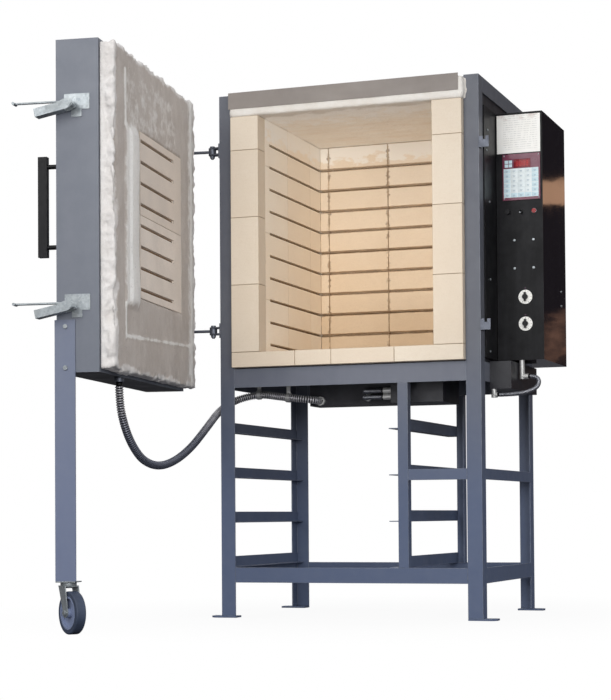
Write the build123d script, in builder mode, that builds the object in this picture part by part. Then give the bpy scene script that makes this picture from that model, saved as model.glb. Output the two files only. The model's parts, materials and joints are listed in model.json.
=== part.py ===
from build123d import *
import os
from math import cos, radians, sin, tan

# Front-loading electric kiln on its own angle-iron stand, with the door standing open.
# X is the width (right positive), Y runs into the kiln, Z is up. All sizes are in millimetres.
# The origin is at floor level in the middle of the four bolt holes of the foot lugs.

# Stand
frame_width = 914.4
frame_depth = 723.9
frame_height = 1778.0
post_leg = 50.8
angle_wall = 4.8
floor_beam_height = 63.5
floor_beam_leg = 38.1
body_floor_z = 843.0
lower_rail_z = 119.5
rail_leg = 50.8
rail_shelf = 38.1
top_rail_leg = 50.8
top_rail_shelf = 45.0
upright_leg = 34.9
upright_right_x = 207.5
mid_rail_leg = 36.0
mid_rail_drop = 349.0
ledge_height = 38.1
ledge_shelf = 25.4
rack_ledge_shelf = 35.8
ledge_wall = 3.2
ledge_drops = (674.0, 521.0, 368.0, 215.0)
lug_reach = 42.0
lug_wall = 6.4
lug_chamfer = 15.0
lug_hole = 13.0
lug_hole_reach = 24.0

# Fire bricks, jackets and insulation
brick_length = 228.6
joint = 0.8
opening_width = 609.6
face_proud = 25.4
face_brick_depth = 63.5
wall_brick = 63.5
sill_height = 50.8
pan_wall = 3.0
back_board = 60.4
roof_thickness = 72.5
groove_height = 9.0
groove_depth = 15.0
groove_first = 31.8
groove_pitch = 76.2
groove_top_margin = 20.0
groove_front = 80.0
sheet = 1.2
board_gap = 1.0
roof_front_width = 818.0
back_joint_start = -270.6
side_joint_start = 255.0
sill_joints = (-177.5, -49.5, 170.5)
lintel_left = -412.0
lintel_right = 396.0
lintel_drop = 54.0
lintel_rise = 2.0
lintel_proud = 28.0
lintel_lap = 20.0
lintel_wall = 2.0
element_wire = 6.5
element_bend = 12.0
bushing_diameter = 12.0
stud_diameter = 6.0
bore_clearance = 0.3
terminal_y = 300.0
stud_reach = 39.6
probe_diameter = 10.0
probe_reach = 34.8
probe_offset_z = 38.1
probe_y = 420.0
probe_head = (24.0, 36.0, 18.0)
terminal_proud = 6.0

# Control box on the right-hand side
box_standoff = 9.6
box_width = 157.0
box_front_y = 206.0
box_depth = 346.0
box_rise = 14.0
box_height = 829.0
box_wall = 1.6
panel_wall = 1.6
cover_post_gap = 2.2
cover_wall = 1.2
notice_corner = (3.0, 693.0)
notice_size = (147.6, 128.6)
notice_wall = 0.8
controller_corner = (22.4, 534.5)
controller_size = (127.8, 154.6)
bezel_wall = 4.0
controller_body_size = (104.0, 132.0, 38.0)
display_corner = (38.8, 108.5)
display_size = (56.0, 28.0)
keypad_corner = (3.6, 9.0)
keypad_size = (118.6, 97.0)
inset = 1.0
inset_gap = 0.3
fuse_spot = (38.9, 496.0)
toggle_spot = (84.0, 495.0)
pilot_spot = (127.6, 496.0)
dial_spots = ((95.2, 210.0), (95.2, 120.6))
dial_radius = 23.5
dial_wall = 1.0
dial_lamp_rise = 29.0
lamp_radius = 3.0
lamp_proud = 1.5
lamp_depth = 8.0
knob_radius = 9.0
knob_height = 11.0
pointer_length = 30.0
pointer_width = 7.0
spindle_radius = 3.0
spindle_hole_radius = 3.05
relay_spots = ((60.2, 400.5), (124.5, 400.5), (60.2, 306.6), (124.5, 306.6))
contactor_size = (82.0, 60.0, 112.0)
transformer_size = (60.0, 52.0, 70.0)
transformer_rise = 73.0
switch_block = (36.0, 24.0, 36.0)
box_rail_width = 20.0
box_rail_inset = 10.0
box_window_ends = (260.0, 450.0)
box_window_margin = 20.0
side_screw_spots = ((272.0, 253.5), (272.0, 204.4))
fuse_radii = (6.0, 8.0)
fuse_lengths = (32.0, 12.0)
toggle_bush_radii = (4.5, 6.0)
toggle_bush_proud = 8.0
toggle_body = (14.0, 22.0, 20.0)
toggle_ball_radius = 4.2
toggle_ball_inset = 1.0
toggle_stick_radius = 2.0
toggle_stick_length = 19.0
toggle_down_angle = 12.0
toggle_tip_swell = 0.8
toggle_tip_length = 3.0
pilot_radii = (5.5, 7.5)
pilot_lengths = (26.0, 5.0)
side_cover_gap = 1.0
cover_screw_spots = ((43.0, 754.0), (29.0, 685.0), (60.0, 519.0), (62.0, 262.0), (54.0, 23.0))
screw_shank = 2.0
screw_hole = 2.2
screw_head = 4.0
screw_head_height = 2.4

# Door, in its own frame: a runs along the door from the hinge axis, b is its thickness
hinge_reach = 32.8
hinge_offset_y = 18.0
open_angle = 82.0
door_hinge_margin = 11.2
door_latch_margin = 14.2
door_drop = 72.5
door_top_gap = 19.5
case_inner = -95.0
case_depth = 131.5
case_wall = 1.6
case_lip = 20.0
lining_depth = 45.5
lining_rise = 8.0
door_brick_inset = 178.0
door_brick_length = 450.0
door_brick_rise = 245.5
door_brick_height = 516.0
door_brick_gap = 0.6
door_groove_margins = (88.0, 8.0)
door_groove_first = 28.0
door_groove_pitch = 65.6
door_groove_count = 8
door_groove_height = 9.0
door_groove_depth = 12.0
door_wire = 6.0

# Hinges
hinge_drop = 185.0
hinge_rise = 134.0
clevis_gap = 16.6
clevis_wall = 5.0
clevis_depth = 36.0
clevis_base = 4.0
clevis_base_height = 50.0
pin_diameter = 10.0
pin_clearance = 0.05
pin_head = 8.5
pin_head_height = 6.0
pin_drop = 12.0
eye_outer = 26.0
eye_height = 16.0
shank_diameter = 10.0
shank_length = 122.0
shank_root = 3.0
hinge_lug_depth = 9.0
hinge_lug_wall = 6.0
hinge_lug_height = 40.0
hinge_lug_foot = 26.0
hinge_lug_tip = 16.0
nut_size = 17.0
nut_height = 8.0

# Latches, heights and places from the lever pivot
latch_drop = 222.0
latch_rise = 119.0
latch_plate_inset = 26.0
latch_plate_length = 79.0
latch_plate_up = 39.0
latch_plate_down = 8.0
latch_plate_wall = 3.0
latch_tab_inset = 22.0
latch_tab_length = 32.0
latch_tab_down = 30.0
lever_pivot_inset = 72.0
lever_pin_radius = 3.5
lever_near = 16.0
lever_gap = 28.5
lever_cheek = 2.5
lever_length = 112.0
lever_droop = 12.0
lever_near_height = 13.0
lever_boss = 8.0
lever_crest = 1.0
lever_drop = 12.0
lever_web_start = 22.0
lever_pin_collar = 6.0
lever_far_height = 25.0
rod_pivot_out = 12.0
rod_pivot_up = 9.5
rod_radius = 3.5
rod_pin_radius = 2.5
rod_to_frame_face = 3.5
rod_boss_radius = 5.0
tee_radius = 4.5
tee_length = 26.0
fit_clearance = 0.05
side_play = 0.4
keeper_wall = 4.0
keeper_base_wall = 3.0
keeper_length = 42.0
keeper_height = 36.0
keeper_reach = 34.0
keeper_slot = 9.0
keeper_rise = 6.0
keeper_play = 0.6

# Door handle, leg and caster
handle_gap = 48.5
handle_depth = 28.0
handle_inset = 62.0
handle_width = 20.0
handle_rise = 350.5
handle_length = 302.0
handle_post_inset = 30.0
handle_post_radius = 7.0
leg_size = 63.5
leg_wall = 4.8
leg_lap = 155.5
leg_bolt_rises = (13.5, 135.5)
leg_bolt_inset = 34.0
bolt_diameter = 8.0
bolt_head = 6.8
bolt_head_height = 4.5
caster_height = 156.0
caster_plate_size = (62.0, 60.0)
caster_plate_wall = 3.5
race_radius = 24.0
race_height = 9.0
king_pin_radius = 6.0
king_pin_hole_radius = 6.05
king_pin_head = 10.0
king_pin_head_height = 4.0
fork_gap = 39.0
fork_wall = 3.5
fork_width = 44.0
fork_foot = 14.0
wheel_diameter = 127.0
wheel_width = 32.0
tyre_depth = 14.0
hub_width = 37.6
hub_radius = 14.0
dish_depth = 9.0
rim_wall = 7.0
tyre_round = 5.0
axle_radius = 5.0
axle_hole_radius = 5.05
caster_trail = 24.0
caster_trail_angle = -37.0
axle_head = 8.5
axle_head_height = 6.0

# Wiring under the floor and the ribbed conduits
junction_left_x = (-206.0, 104.0)
junction_left_y = (200.0, 300.0)
junction_left_height = 121.0
junction_right_x = (118.0, 300.0)
junction_right_y = (100.0, 300.0)
junction_right_height = 123.0
side_box_width = 71.8
side_box_y = (115.0, 480.0)
side_box_height = 91.0
side_box_rise = 5.0
junction_wall = 1.5
hose_outer = 26.0
hose_root = 22.8
hose_bore = 19.5
hose_pitch = 7.4
small_hose_outer = 15.0
small_hose_root = 13.2
small_hose_bore = 10.5
small_hose_pitch = 5.2
supply_drop_gap = 12.0
supply_drop_height = 63.0
supply_outlet_reach = 21.0
supply_outlet_height = 54.0
supply_straight = 34.0
supply_end_gap = 10.8
supply_end_y = 124.0
supply_end_drop = 19.0
link_drops = (79.0, 100.0)
link_start_x = 8.0
link_y = 135.0
link_fitting_length = 36.0
link_fitting_radius = 10.0
door_hose_end_x = -165.0
door_hose_end_drop = 104.0
clip_shares = (0.81, 0.895)
clip_wall = 2.5
clip_length = 14.0
clip_clearance = 0.8
fitting_radius = 15.5
small_fitting_radius = 9.0
fitting_length = 12.0
gland_height = 14.0
gland_inset = 233.0
gland_depth = 15.0

# Values that follow from the sizes above
front = -frame_depth / 2
back = frame_depth / 2
side = frame_width / 2
post_inner = side - post_leg
beam_bottom_z = body_floor_z - floor_beam_height
pan_top_z = body_floor_z + pan_wall
sill_bottom_z = pan_top_z + joint
sill_top_z = sill_bottom_z + sill_height
panel_x = side - angle_wall
roof_panel_z = frame_height - angle_wall - sheet
roof_top_z = roof_panel_z - board_gap
chamber_top_z = roof_top_z - roof_thickness - joint
face_width = 2 * (post_inner - joint)
face_y = front - face_proud
face_back_y = face_y + face_brick_depth
back_panel_y = back - angle_wall
board_back_y = back_panel_y - sheet - board_gap
wall_back_y = board_back_y - back_board - board_gap
chamber_back_y = wall_back_y - wall_brick
chamber_side = opening_width / 2
wall_outer = chamber_side + wall_brick
groove_space = chamber_top_z - sill_top_z - groove_first - groove_top_margin
groove_rows = int(groove_space / groove_pitch) + 1
row_heights = [sill_top_z + groove_first + groove_pitch * row for row in range(groove_rows)]
post_positions = ((-1, -1, 0), (1, -1, 90), (1, 1, 180), (-1, 1, 270))

box_left_x = panel_x + box_standoff
box_right_x = box_left_x + box_width
box_bottom_z = body_floor_z + box_rise
box_top_z = box_bottom_z + box_height
panel_front_y = front + box_front_y
panel_back_y = panel_front_y + panel_wall
box_back_y = panel_front_y + box_depth
cover_front_y = front + post_leg + cover_post_gap


# Places on the control box's front, counted from its lower left corner
def on_box(spot):
    return (box_left_x + spot[0], box_bottom_z + spot[1])


fuse_place = on_box(fuse_spot)
toggle_place = on_box(toggle_spot)
pilot_place = on_box(pilot_spot)
dial_places = [on_box(spot) for spot in dial_spots]
relay_screws = [on_box(spot) for spot in relay_spots]
side_screw_places = [(panel_front_y + y, box_bottom_z + z) for y, z in side_screw_spots]
cover_screw_places = [(cover_front_y + y, box_bottom_z + z) for y, z in cover_screw_spots]

hinge_x = -side - hinge_reach
hinge_y = front + hinge_offset_y
door_start = hinge_reach + door_hinge_margin
door_end = hinge_reach + frame_width - door_latch_margin
door_bottom_z = body_floor_z - door_drop
door_top_z = frame_height - door_top_gap
case_outer = case_inner - case_depth
lining_face = case_inner + lining_depth
door_brick_start = door_start + door_brick_inset
door_brick_end = door_brick_start + door_brick_length
door_brick_bottom_z = door_bottom_z + door_brick_rise
door_brick_top_z = door_brick_bottom_z + door_brick_height
door_groove_start = door_brick_start + door_groove_margins[0]
door_groove_end = door_brick_end - door_groove_margins[1]
door_groove_first_z = door_brick_bottom_z + door_groove_first
hinge_heights = (frame_height - hinge_drop, body_floor_z + hinge_rise)
hinge_lug_inner = case_inner - hinge_lug_depth
latch_heights = (frame_height - latch_drop, body_floor_z + latch_rise)
latch_plate_end = case_inner - latch_plate_inset
latch_plate_start = latch_plate_end - latch_plate_length
latch_tab_start = latch_plate_start + latch_tab_inset
latch_tab_end = latch_tab_start + latch_tab_length
lever_pivot_b = case_inner - lever_pivot_inset
tee_b = rod_to_frame_face - hinge_offset_y
rod_length = tee_b - lever_pivot_b + rod_pivot_out
handle_a = door_end - handle_inset
handle_b_in = case_outer - handle_gap
handle_b_out = handle_b_in - handle_depth
handle_bottom_z = door_bottom_z + handle_rise
handle_top_z = handle_bottom_z + handle_length
leg_heel_a = door_end + leg_wall
leg_heel_b = case_outer - leg_wall
leg_top_z = door_bottom_z + leg_lap
leg_bolt_heights = [door_bottom_z + rise for rise in leg_bolt_rises]
gland_a = door_end - gland_inset
gland_b = case_inner - gland_depth
door_plane = Plane(
    origin=(hinge_x, hinge_y, 0),
    x_dir=(cos(radians(open_angle)), -sin(radians(open_angle)), 0),
    z_dir=(0, 0, 1),
)

left_x0, left_x1 = junction_left_x
left_y0, left_y1 = (front + y for y in junction_left_y)
left_z0 = body_floor_z - junction_left_height
right_x0, right_x1 = junction_right_x
right_y0, right_y1 = (front + y for y in junction_right_y)
right_z0 = body_floor_z - junction_right_height
side_box_right_x = side + side_box_width
side_y0, side_y1 = (front + y for y in side_box_y)
side_box_top_z = body_floor_z + side_box_rise
side_box_bottom_z = side_box_top_z - side_box_height
link_heights = [body_floor_z - drop for drop in link_drops]
link_end_x = right_x0 - link_fitting_length
hose_end_x = door_hose_end_x
hose_end_z = body_floor_z - door_hose_end_drop
drop_x = side_box_right_x + supply_drop_gap
drop_y = panel_front_y + supply_drop_gap
outlet_x = drop_x + supply_outlet_reach
outlet_z = box_bottom_z - supply_outlet_height
end_x = side + supply_end_gap
end_y = front + supply_end_y
end_z = side_box_bottom_z - supply_end_drop

os.makedirs("parts", exist_ok=True)


def finish(builder, name):
    builder.part.label = name
    export_step(builder.part, f"parts/{name}.step")


# Box between two corners of the builder's own frame
def block(x0, x1, y0, y1, z0, z1, mode=Mode.ADD):
    with Locations(((x0 + x1) / 2, (y0 + y1) / 2, (z0 + z1) / 2)):
        Box(x1 - x0, y1 - y0, z1 - z0, mode=mode)


# Round bars along each axis, from one end to the other
def rod_x(x0, x1, y, z, radius, mode=Mode.ADD):
    with Locations(Location(((x0 + x1) / 2, y, z), (0, 90, 0))):
        Cylinder(radius, x1 - x0, mode=mode)


def rod_y(x, y0, y1, z, radius, mode=Mode.ADD):
    with Locations(Location((x, (y0 + y1) / 2, z), (90, 0, 0))):
        Cylinder(radius, y1 - y0, mode=mode)


def rod_z(x, y, z0, z1, radius, mode=Mode.ADD):
    with Locations((x, y, (z0 + z1) / 2)):
        Cylinder(radius, z1 - z0, mode=mode)


# Angle iron whose heel is the plane's origin and whose legs lie on the plane's X and Y
def angle_iron(plane, leg_x, leg_y, wall, length):
    with BuildSketch(plane) as section:
        with BuildLine():
            Polyline(
                (0, 0), (leg_x, 0), (leg_x, wall), (wall, wall), (wall, leg_y), (0, leg_y), close=True
            )
        make_face()
    extrude(section.sketch, amount=length)


# Open-faced tray: a box of sheet with the named side left out
def tray(x0, x1, y0, y1, z0, z1, wall, open_side):
    block(x0, x1, y0, y1, z0, z1)
    low = {"x": x0 + wall, "y": y0 + wall, "z": z0 + wall}
    high = {"x": x1 - wall, "y": y1 - wall, "z": z1 - wall}
    ends = {"-x": x0, "-y": y0, "-z": z0, "+x": x1, "+y": y1, "+z": z1}
    side_of = low if open_side[0] == "-" else high
    side_of[open_side[1]] = ends[open_side]
    block(low["x"], high["x"], low["y"], high["y"], low["z"], high["z"], mode=Mode.SUBTRACT)


# Centres and half lengths of bricks laid from one end to the other with a joint between
def brick_spans(start, end, marks):
    edges = [start] + [mark for mark in marks if start < mark < end] + [end]
    spans = []
    for low, high in zip(edges[:-1], edges[1:]):
        spans.append((low + (joint / 2 if low > start else 0), high - (joint / 2 if high < end else 0)))
    return spans


# Corner radii as large as each corner's two runs allow
def route_radii(points, name):
    corners = []
    for before, here, after in zip(points[:-2], points[1:-1], points[2:]):
        into = Vector(*here) - Vector(*before)
        out = Vector(*after) - Vector(*here)
        turn = radians(into.get_angle(out))
        corners.append(0.45 * min(into.length, out.length) / tan(turn / 2))
    print(name, "bend radii", [round(radius, 1) for radius in corners])
    return corners


def route_wire(points, name):
    with BuildLine() as route:
        FilletPolyline(*points, radius=route_radii(points, name))
    return route.wire()


# Ribbed hose along a route: four circles for each rib, and a smooth bore
def ribbed_hose(path, name, outer, root, bore, pitch):
    length = path.length
    straight = outer
    ribs = int((length - 2 * straight) / pitch)
    step = (length - 2 * straight) / ribs
    stations = [(0, root)]
    for rib in range(ribs):
        start = straight + rib * step
        stations.append((start + 0.06 * step, root))
        stations.append((start + 0.28 * step, outer))
        stations.append((start + 0.62 * step, outer))
        stations.append((start + 0.84 * step, root))
    stations.append((length, root))
    across = path.tangent_at(0).cross(Vector(0.3, 0.5, 0.8))
    with BuildPart() as hose:
        for place, size in stations:
            spot = path.position_at(place, position_mode=PositionMode.LENGTH)
            heading = path.tangent_at(place, position_mode=PositionMode.LENGTH)
            across = (across - heading * across.dot(heading)).normalized()
            with BuildSketch(Plane(origin=spot, x_dir=across, z_dir=heading)):
                Circle(size / 2)
        loft(ruled=True)
        with BuildSketch(Plane(origin=path.position_at(0), z_dir=path.tangent_at(0))) as opening:
            Circle(bore / 2)
        sweep(opening.sketch, path=path, mode=Mode.SUBTRACT)
    print(name, "length", round(length, 1), "ribs", ribs, "volume", round(hose.part.volume))
    return hose


# Stand
with BuildPart() as corner_posts:
    for sx, sy, turn in post_positions:
        heel = Plane((sx * side, sy * back, lug_wall), x_dir=(cos(radians(turn)), sin(radians(turn)), 0))
        angle_iron(heel, post_leg, post_leg, angle_wall, frame_height - lug_wall)
finish(corner_posts, "corner_posts")

with BuildPart() as foot_lugs:
    for sx, sy, turn in post_positions:
        outer_x = sx * (side + lug_reach)
        inner_x = sx * post_inner
        with BuildSketch():
            with BuildLine():
                Polyline(
                    (inner_x, sy * back),
                    (outer_x - sx * lug_chamfer, sy * back),
                    (outer_x, sy * (back - lug_chamfer)),
                    (outer_x, sy * (back - post_leg)),
                    (inner_x, sy * (back - post_leg)),
                    close=True,
                )
            make_face()
            with Locations((sx * (side + lug_hole_reach), sy * (back - post_leg / 2))):
                Circle(lug_hole / 2, mode=Mode.SUBTRACT)
        extrude(amount=lug_wall)
finish(foot_lugs, "foot_lugs")

span_x = 2 * post_inner
span_y = frame_depth - 2 * post_leg
with BuildPart() as floor_beams:
    front_heel = Plane((-post_inner, front, body_floor_z), x_dir=(0, 0, -1), z_dir=(1, 0, 0))
    angle_iron(front_heel, floor_beam_height, floor_beam_leg, angle_wall, span_x)
    back_heel = Plane((post_inner, back, body_floor_z), x_dir=(0, 0, -1), z_dir=(-1, 0, 0))
    angle_iron(back_heel, floor_beam_height, floor_beam_leg, angle_wall, span_x)
    left_heel = Plane((-side, back - post_leg, body_floor_z), x_dir=(0, 0, -1), z_dir=(0, -1, 0))
    angle_iron(left_heel, floor_beam_height, floor_beam_leg, angle_wall, span_y)
    right_heel = Plane((side, front + post_leg, body_floor_z), x_dir=(0, 0, -1), z_dir=(0, 1, 0))
    angle_iron(right_heel, floor_beam_height, floor_beam_leg, angle_wall, span_y)
finish(floor_beams, "floor_beams")

# Rails near the floor on all four sides, and the short rails halfway up at the right
with BuildPart() as stand_rails:
    front_heel = Plane((post_inner, front, lower_rail_z), x_dir=(0, 0, 1), z_dir=(-1, 0, 0))
    angle_iron(front_heel, rail_leg, rail_shelf, angle_wall, span_x)
    back_heel = Plane((-post_inner, back, lower_rail_z), x_dir=(0, 0, 1), z_dir=(1, 0, 0))
    angle_iron(back_heel, rail_leg, rail_shelf, angle_wall, span_x)
    left_heel = Plane((-side, front + post_leg, lower_rail_z), x_dir=(0, 0, 1), z_dir=(0, 1, 0))
    angle_iron(left_heel, rail_leg, rail_shelf, angle_wall, span_y)
    right_heel = Plane((side, back - post_leg, lower_rail_z), x_dir=(0, 0, 1), z_dir=(0, -1, 0))
    angle_iron(right_heel, rail_leg, rail_shelf, angle_wall, span_y)
    mid_rail_z = body_floor_z - mid_rail_drop
    mid_front_heel = Plane((upright_right_x, front, mid_rail_z), x_dir=(0, 0, -1), z_dir=(1, 0, 0))
    angle_iron(mid_front_heel, mid_rail_leg, mid_rail_leg, angle_wall, post_inner - upright_right_x)
    mid_side_heel = Plane((side, front + post_leg, mid_rail_z), x_dir=(0, 0, -1), z_dir=(0, 1, 0))
    angle_iron(mid_side_heel, mid_rail_leg, mid_rail_leg, angle_wall, span_y)
finish(stand_rails, "stand_rails")

with BuildPart() as top_rails:
    back_heel = Plane((post_inner, back, frame_height), x_dir=(0, 0, -1), z_dir=(-1, 0, 0))
    angle_iron(back_heel, top_rail_leg, top_rail_shelf, angle_wall, span_x)
    left_heel = Plane((-side, back - post_leg, frame_height), x_dir=(0, 0, -1), z_dir=(0, -1, 0))
    angle_iron(left_heel, top_rail_leg, top_rail_shelf, angle_wall, span_y)
    right_heel = Plane((side, front + post_leg, frame_height), x_dir=(0, 0, -1), z_dir=(0, 1, 0))
    angle_iron(right_heel, top_rail_leg, top_rail_shelf, angle_wall, span_y)
finish(top_rails, "top_rails")

upright_bottom_z = lower_rail_z + rail_leg
upright_length = beam_bottom_z - upright_bottom_z
with BuildPart() as inner_uprights:
    front_heel = Plane((upright_right_x, front, upright_bottom_z), x_dir=(0, 1, 0), z_dir=(0, 0, 1))
    angle_iron(front_heel, upright_leg, upright_leg, angle_wall, upright_length)
    back_heel = Plane((upright_right_x, back, upright_bottom_z), x_dir=(-1, 0, 0), z_dir=(0, 0, 1))
    angle_iron(back_heel, upright_leg, upright_leg, angle_wall, upright_length)
finish(inner_uprights, "inner_uprights")

# Ledges for kiln shelves: behind the left posts and behind the inner uprights
ledge_length = frame_depth - 2 * angle_wall
ledge_front = front + angle_wall
ledge_back = back - angle_wall
rack_x = upright_right_x - upright_leg + ledge_wall
with BuildPart() as shelf_ledges:
    for drop in ledge_drops:
        ledge_z = body_floor_z - drop
        left_heel = Plane((-side + angle_wall, ledge_front, ledge_z), x_dir=(0, 0, 1), z_dir=(0, 1, 0))
        angle_iron(left_heel, ledge_height, ledge_shelf, ledge_wall, ledge_length)
        rack_heel = Plane((rack_x, ledge_back, ledge_z), x_dir=(0, 0, 1), z_dir=(0, -1, 0))
        angle_iron(rack_heel, ledge_height, rack_ledge_shelf, ledge_wall, ledge_length)
finish(shelf_ledges, "shelf_ledges")

# Sheet jackets of the kiln body, with holes for the terminals and the thermocouple
wire_heights = [height - groove_height / 2 + element_wire / 2 for height in row_heights]
probe_z = row_heights[-2] + probe_offset_z
bushing_hole = bushing_diameter / 2 + bore_clearance
probe_hole = probe_diameter / 2 + bore_clearance
jacket_bottom_z = pan_top_z + joint
jacket_top_z = roof_panel_z - joint


# Cuts for what passes through the right-hand wall, from one X to another
def wall_holes(x0, x1):
    for height in wire_heights:
        rod_x(x0, x1, front + terminal_y, height, bushing_hole, mode=Mode.SUBTRACT)
    rod_x(x0, x1, front + probe_y, probe_z, probe_hole, mode=Mode.SUBTRACT)


with BuildPart() as case_panels:
    block(-panel_x, panel_x, front + angle_wall, back_panel_y, body_floor_z, pan_top_z)
    for sx in (-1, 1):
        low_x, high_x = sorted((sx * panel_x, sx * (panel_x - sheet)))
        block(low_x, high_x, front + angle_wall, back_panel_y - sheet - joint, jacket_bottom_z, jacket_top_z)
    block(-panel_x, panel_x, back_panel_y - sheet, back_panel_y, jacket_bottom_z, jacket_top_z)
    block(-panel_x, panel_x, front + angle_wall, back_panel_y, roof_panel_z, roof_panel_z + sheet)
    wall_holes(panel_x - sheet, panel_x)
finish(case_panels, "case_panels")

# Back-up insulation between the bricks and the jackets
board_outer_x = panel_x - sheet - board_gap
board_inner_x = wall_outer + board_gap
with BuildPart() as backup_boards:
    for sx in (-1, 1):
        low_x, high_x = sorted((sx * board_inner_x, sx * board_outer_x))
        block(low_x, high_x, face_back_y + joint, board_back_y, sill_bottom_z, chamber_top_z)
    back_board_x = board_inner_x - board_gap
    block(-back_board_x, back_board_x, wall_back_y + board_gap, board_back_y, sill_bottom_z, chamber_top_z)
    wall_holes(board_inner_x, board_outer_x)
finish(backup_boards, "backup_boards")

# Fire bricks, laid dry with thin joints; the walls' level joints are hidden in every third groove
course_count = int((chamber_top_z - sill_top_z) / brick_length)
course_marks = [sill_top_z + course * brick_length for course in range(1, course_count + 1)]
rows_per_brick = int(brick_length / groove_pitch)
wall_marks = row_heights[rows_per_brick - 1::rows_per_brick]
groove_end_y = chamber_back_y + groove_depth
with BuildPart() as floor_bricks:
    marks_x = [-wall_outer + brick_length * count for count in range(1, 4)]
    marks_y = [chamber_back_y - brick_length * count for count in (2, 1, 0)]
    for x0, x1 in brick_spans(-wall_outer, wall_outer, marks_x):
        for y0, y1 in brick_spans(face_back_y + joint, wall_back_y, marks_y):
            block(x0, x1, y0, y1, sill_bottom_z, sill_top_z - joint)
finish(floor_bricks, "floor_bricks")

side_marks = [front + side_joint_start + brick_length * count for count in range(2)]
with BuildPart() as side_wall_bricks:
    for sx in (-1, 1):
        low_x, high_x = sorted((sx * chamber_side, sx * wall_outer))
        for y0, y1 in brick_spans(face_back_y + joint, wall_back_y, side_marks):
            for z0, z1 in brick_spans(sill_top_z, chamber_top_z, wall_marks):
                block(low_x, high_x, y0, y1, z0, z1)
        low_x, high_x = sorted((sx * chamber_side, sx * (chamber_side + groove_depth)))
        for height in row_heights:
            low_z, high_z = height - groove_height / 2, height + groove_height / 2
            block(low_x, high_x, front + groove_front, groove_end_y, low_z, high_z, mode=Mode.SUBTRACT)
    wall_holes(chamber_side, wall_outer)
finish(side_wall_bricks, "side_wall_bricks")

back_marks = [back_joint_start + brick_length * count for count in range(3)]
back_edge = chamber_side - joint
with BuildPart() as back_wall_bricks:
    for x0, x1 in brick_spans(-back_edge, back_edge, back_marks):
        for z0, z1 in brick_spans(sill_top_z, chamber_top_z, wall_marks):
            block(x0, x1, chamber_back_y, wall_back_y, z0, z1)
    for height in row_heights:
        low_z, high_z = height - groove_height / 2, height + groove_height / 2
        block(-back_edge, back_edge, chamber_back_y, groove_end_y, low_z, high_z, mode=Mode.SUBTRACT)
finish(back_wall_bricks, "back_wall_bricks")

with BuildPart() as face_bricks:
    for sx in (-1, 1):
        low_x, high_x = sorted((sx * chamber_side, sx * face_width / 2))
        for z0, z1 in brick_spans(sill_top_z + joint, chamber_top_z, course_marks):
            block(low_x, high_x, face_y, face_back_y, z0, z1)
    for x0, x1 in brick_spans(-face_width / 2, face_width / 2, sill_joints):
        block(x0, x1, face_y, face_back_y, sill_bottom_z, sill_top_z)
finish(face_bricks, "face_bricks")

# Fibre roof, with its front edge hanging in front of the posts, and the strip that holds it
roof_bottom_z = chamber_top_z + joint
roof_x = panel_x - sheet - board_gap
roof_start_y = front + angle_wall + board_gap
lintel_front_y = front - lintel_proud
with BuildPart() as roof_fibre:
    block(-roof_x, roof_x, roof_start_y, board_back_y, roof_bottom_z, roof_top_z)
    neck_x = post_inner - joint
    block(-neck_x, neck_x, face_y, roof_start_y, roof_bottom_z, roof_top_z)
    block(-roof_front_width / 2, roof_front_width / 2, face_y, front - joint, roof_bottom_z, roof_top_z)
finish(roof_fibre, "roof_fibre")

with BuildPart() as lintel_strip:
    low_z, high_z = frame_height - lintel_drop, frame_height + lintel_rise
    block(lintel_left, lintel_right, lintel_front_y, lintel_front_y + lintel_wall, low_z, high_z)
    shelf_x = min(lintel_right, post_inner) - angle_wall
    shelf_end_y = front + angle_wall + lintel_lap
    roof_face_z = roof_panel_z + sheet
    block(-shelf_x, shelf_x, lintel_front_y, shelf_end_y, roof_face_z, roof_face_z + lintel_wall)
finish(lintel_strip, "lintel_strip")

# Heating elements: one wire round each row of grooves, with a tail to its terminal at the right
element_x = chamber_side + groove_depth / 2
element_start = front + groove_front + element_wire
element_back = chamber_back_y + groove_depth / 2
bushing_start = chamber_side + groove_depth + bore_clearance
terminal_face_x = panel_x + terminal_proud
with BuildPart() as chamber_elements:
    for height in wire_heights:
        with BuildLine():
            FilletPolyline(
                (-element_x, element_start, height),
                (-element_x, element_back, height),
                (element_x, element_back, height),
                (element_x, element_start, height),
                radius=element_bend,
            )
        with BuildSketch(Plane((-element_x, element_start, height), x_dir=(1, 0, 0), z_dir=(0, 1, 0))):
            Circle(element_wire / 2)
        sweep()
        rod_x(element_x, bushing_start, front + terminal_y, height, stud_diameter / 2)
finish(chamber_elements, "chamber_elements")

with BuildPart() as element_terminals:
    for height in wire_heights:
        rod_x(bushing_start, terminal_face_x, front + terminal_y, height, bushing_diameter / 2)
        rod_x(terminal_face_x, panel_x + stud_reach, front + terminal_y, height, stud_diameter / 2)
finish(element_terminals, "element_terminals")

with BuildPart() as thermocouple:
    rod_x(chamber_side - probe_reach, terminal_face_x, front + probe_y, probe_z, probe_diameter / 2)
    head_x = terminal_face_x + probe_head[0]
    head_y0, head_y1 = front + probe_y - probe_head[1] / 2, front + probe_y + probe_head[1] / 2
    block(terminal_face_x, head_x, head_y0, head_y1, probe_z - probe_head[2] / 2, probe_z + probe_head[2] / 2)
finish(thermocouple, "thermocouple")

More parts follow.
